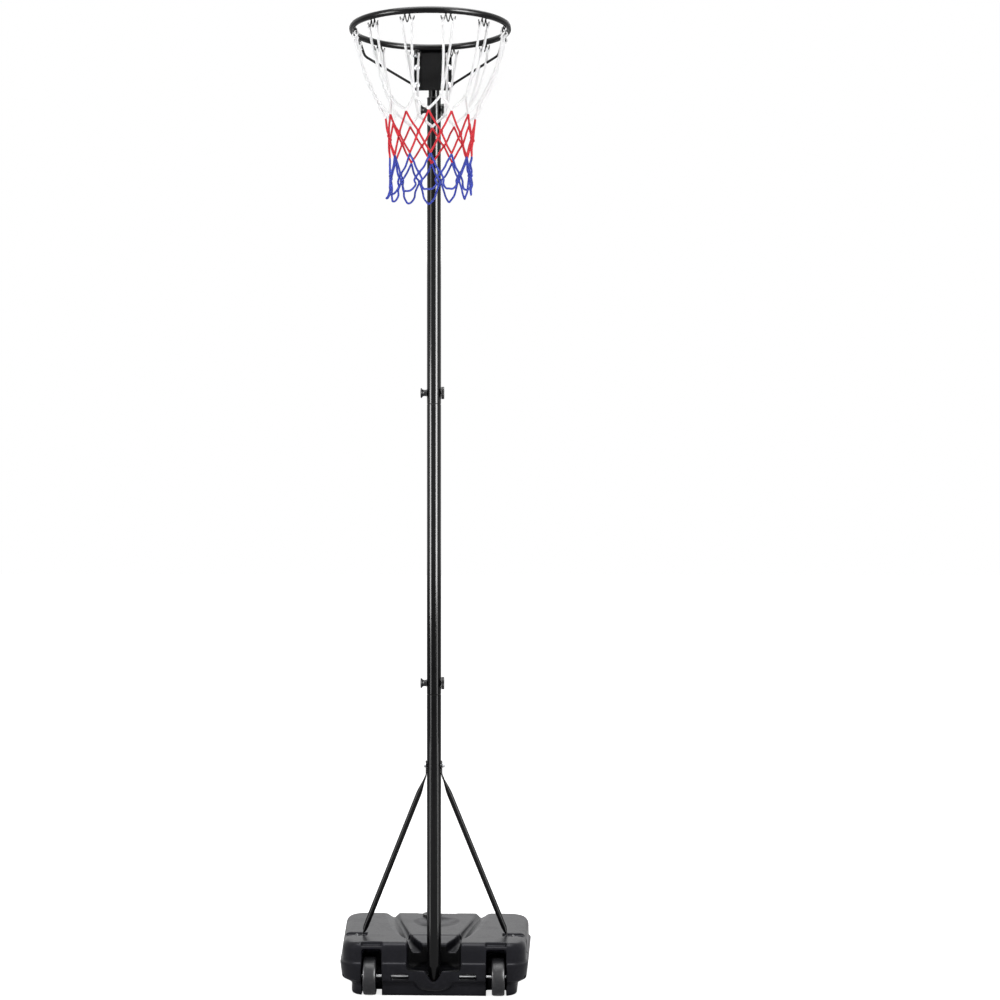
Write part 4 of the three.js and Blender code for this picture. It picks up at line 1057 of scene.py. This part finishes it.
def knot(place, size, turn):
    """An overhand knot: two fat turns of cord pulled tight round the crossing."""
    turns = []
    for lean, grow in ((0.5, 1.0), (-0.5, 0.92)):
        path = []
        for step in range(14):
            t = math.tau * step / 14
            spot = Vector((
                math.cos(t) * 1.15 * grow, math.sin(t) * 0.95 * grow, math.sin(t + turn) * 0.5 + lean,
            ))
            path.append(place + Matrix.Rotation(turn, 3, "Z") @ spot * size)
        turns.append(drawn("turn", path, size * 0.8, 8, looped=True))
    return turns


def white_net():
    cords = [zigzag(0, WHITE_CORD, 0, 1, 0)]
    for k in range(HOOKS):
        angle = hook_angle(k)
        low = knot_place(0, k)
        out = Vector((math.cos(angle), math.sin(angle), 0))
        cords += knot(low, WHITE_CORD, angle)
        for side in (-1, 1):
            valley = around(HOOK_RADIUS, side * 0.74 * HOOK_HALF_WIDTH, HOOK_TOP - 0.78 * HOOK_DEPTH, angle)
            run = low - valley
            bow = 9 + 3 * math.sin(3.1 * k + side)
            path = [low]
            for share in (0.1, 0.3, 0.5, 0.7, 0.9):
                path.append(low - run * share + (out - Z_WAY * 0.3) * (bow * math.sin(math.pi * share)))
            for t in (-2.4, -1.6, -0.8, 0, 0.8, 1.6, 2.4):
                path.append(valley + (out * math.sin(t) + Z_WAY * math.cos(t)) * 3.9)
            path += [valley + run * 0.05 + out * 1.5, valley + run * 0.09 + out]
            line = eased(path, 3)
            sizes = [WHITE_CORD * (0.95 if place.z < valley.z - 12 else 0.7) for place in line]
            cords.append(drawn("hanger", line, sizes))
    dressed(joined(cords, "net_cords_white"), "hoop_post", WHITE, "net_white", angle=70)


def coloured_net(name, first, look, node, slack, loose):
    cords = [zigzag(first, COLOUR_CORD, 4.2, slack, 0.3), zigzag(first + 1, COLOUR_CORD, 1.2, slack, loose)]
    for k in range(HOOKS):
        cords += knot(knot_place(first + 1, k), COLOUR_CORD, 0.7 * k)
    dressed(joined(cords, name), "hoop_post", look, node, angle=70)


# Filler cap with a bar grip and a ribbed rim
def filler_cap():
    cap = turned("cap", (
        (0, -18), (21, -18), (21.7, -17), (21.7, 1.8), (26.4, 1.8), (27, 2.3), (27, 4.4), (26, 5.6), (24.5, 5.8),
        (19, 5.8), (18.2, 5), (17.8, 2.2), (0, 2.0),
    ), 96)
    grip = cube("grip", -20, 20, -3.5, 3.5, 1, 5.8, 1.0)
    ribs = ribs_round(24, (25.6, 27, -1.1, 1.1, 2.4, 4.6), 0.4)
    whole = placed(joined([cap, grip, *ribs], "tank_filler_cap"), *FILLER, TANK_TOP + SEAT)
    dressed(whole, "filler_cap", PLASTIC, "filler_cap")


# Water, set in from the tank's walls and below its channels
def ballast():
    water = sheet("ballast_fill", WATER_MIDDLE, 188, 92, WATER_FOOT)
    corners_rounded(34, 8)
    height = WATER_FOOT
    for level, grow in ((30, 1.0), (48, 1.1), (104, 1.03), (111, 0.99), (112, 0.96)):
        drawn_up(level - height)
        bpy.ops.transform.resize(value=(grow, grow, 1), center_override=(0, WATER_MIDDLE * MM, 0))
        height = level
    bpy.ops.object.mode_set(mode="OBJECT")
    dressed(facing_out(water), "base", WATER, "ballast_water", angle=40)


# Rod through the tank and both wheels, with chamfered ends
def axle():
    end, full = AXLE_RADIUS - 0.8, AXLE_RADIUS
    rod = turned("wheel_axle_rod", (
        (0, -216.3), (end, -216.3), (full, -215.3), (full, 215.3), (end, 216.3), (0, 216.3),
    ), 32)
    placed(laid_along_x(rod), z=AXLE_HEIGHT)
    dressed(rod, "base", ROD, "wheel_axle")


tank()
ballast()
axle()
for side_name, side_sign in SIDES:
    wheel(side_name, side_sign)
filler_cap()
post_tubes()
clamps()
braces()
stub_and_bracket()
face_plate()
hoop_bolts()
ring()
struts()
hooks()
white_net()
coloured_net("net_cords_red", 1, RED, "net_red", 1.2, 0.2)
coloured_net("net_cords_blue", 3, BLUE, "net_blue", 3, 1.25)


# Studio: white surroundings, pale floor, lamps and camera
def mixed_by(tree, share, one, other, output):
    """The outcome of a tree goes from one shader to the other by the share."""
    both = wired(tree, "ShaderNodeMixShader", {0: share, 1: one.outputs[0], 2: other.outputs[0]})
    wired(tree, output, {0: both.outputs[0]})


def surroundings():
    """Full white for the camera and in mirrors, but softer as light."""
    world = bpy.data.worlds.new("studio")
    bpy.context.scene.world = world
    world.use_nodes = True
    tree = world.node_tree
    tree.nodes.clear()
    rays = wired(tree, "ShaderNodeLightPath").outputs
    seen = reckoned(tree, "MAXIMUM", rays["Is Camera Ray"], rays["Is Glossy Ray"])
    shown = reckoned(tree, "MAXIMUM", seen, rays["Is Transmission Ray"])
    soft = wired(tree, "ShaderNodeBackground", {"Color": WHITE_LIGHT, "Strength": SURROUNDING_LIGHT})
    white = wired(tree, "ShaderNodeBackground", {"Color": WHITE_LIGHT, "Strength": 1.0})
    mixed_by(tree, shown, soft, white, "ShaderNodeOutputWorld")


def pale_floor():
    """Matt paper, lifted to white where the camera looks straight at it."""
    bpy.ops.mesh.primitive_plane_add(size=60)
    floor = newest("studio_floor")
    paper = bpy.data.materials.new("pale_floor")
    paper.use_nodes = True
    tree = paper.node_tree
    tree.nodes.clear()
    rays = wired(tree, "ShaderNodeLightPath")
    matt = wired(tree, "ShaderNodeBsdfDiffuse", {"Color": (0.8, 0.8, 0.8, 1)})
    lift = wired(tree, "ShaderNodeEmission", {"Color": WHITE_LIGHT, "Strength": FLOOR_LIFT})
    lifted = wired(tree, "ShaderNodeAddShader", {0: matt.outputs[0], 1: lift.outputs[0]})
    mixed_by(tree, rays.outputs["Is Camera Ray"], matt, lifted, "ShaderNodeOutputMaterial")
    floor.data.materials.append(paper)


# Lamps light matt surfaces, "both" is mirrored as well, and strips are only mirrored. The tank's broad flat top
# would mirror the tall strips as a white sheet, so the "slim" ones light all but the tank.
LAMPS = (
    # name, place, height aimed at, width, height, power, use
    ("left_lamp", (-3.53, -2.8, 1.75), 1.75, 1.2, 3.3, 105, "matt"),
    ("right_lamp", (3.77, -2.46, 1.75), 1.75, 1.4, 3.3, 110, "matt"),
    ("top_lamp", (0.3, 0.6, 5.2), 1.2, 2.4, 2.4, 80, "both"),
    ("left_tall_strip", (-3.49, -2.77, 1.75), 1.75, 1.2, 3.3, 105, "slim"),
    ("right_tall_strip", (3.73, -2.43, 1.75), 1.75, 1.4, 3.3, 110, "slim"),
    ("left_tall_glint", (-3.91, -2.42, 1.37), 1.37, 1.6, 1.3, 190, "slim"),
    ("right_tall_glint", (3.07, -3.43, 2.2), 2.2, 1.8, 2.7, 620, "slim"),
    ("left_tall_foot", (-0.73, -0.33, 0.29), 0.29, 0.17, 0.58, 2.6, "slim"),
    ("right_tall_foot", (0.75, -0.3, 0.29), 0.29, 0.17, 0.58, 2.6, "slim"),
    ("top_strip", (0, -1.3, 4.6), 1.2, 3.2, 1.6, 130, "mirrored"),
    ("back_strip", (0, 3.6, 3.2), 2.2, 4, 1.6, 62, "mirrored"),
)


def lamps():
    slim = bpy.data.collections.new("slim_pieces")
    for piece in bpy.context.scene.objects:
        if piece.type == "MESH" and "tank" not in piece.name and piece.name != "studio_floor":
            slim.objects.link(piece)
    for name, place, aim, width, height, power, use in LAMPS:
        lamp = bpy.data.objects.new(name, bpy.data.lights.new(name, "AREA"))
        lamp.data.shape = "RECTANGLE"
        lamp.data.size, lamp.data.size_y = width, height
        lamp.data.energy = power
        lamp.location = place
        lamp.visible_camera = False
        lamp.visible_diffuse = use in ("matt", "both")
        lamp.visible_glossy = use != "matt"
        if use == "slim":
            lamp.light_linking.receiver_collection = slim
        lamp.rotation_euler = (Vector((0, 0, aim)) - Vector(place)).to_track_quat("-Z", "Y").to_euler()
        bpy.context.scene.collection.objects.link(lamp)


def camera():
    eye = bpy.data.objects.new("camera", bpy.data.cameras.new("camera"))
    eye.data.lens = CAMERA_LENS
    eye.data.sensor_width = 36
    eye.data.shift_x, eye.data.shift_y = CAMERA_SHIFT
    eye.location = (
        math.sin(CAMERA_TURN) * CAMERA_DISTANCE, -math.cos(CAMERA_TURN) * CAMERA_DISTANCE, CAMERA_HEIGHT,
    )
    eye.rotation_euler = (math.pi / 2, 0, CAMERA_TURN)
    bpy.context.scene.collection.objects.link(eye)
    bpy.context.scene.camera = eye


surroundings()
pale_floor()
lamps()
camera()
bpy.context.scene.view_settings.view_transform = "Standard"
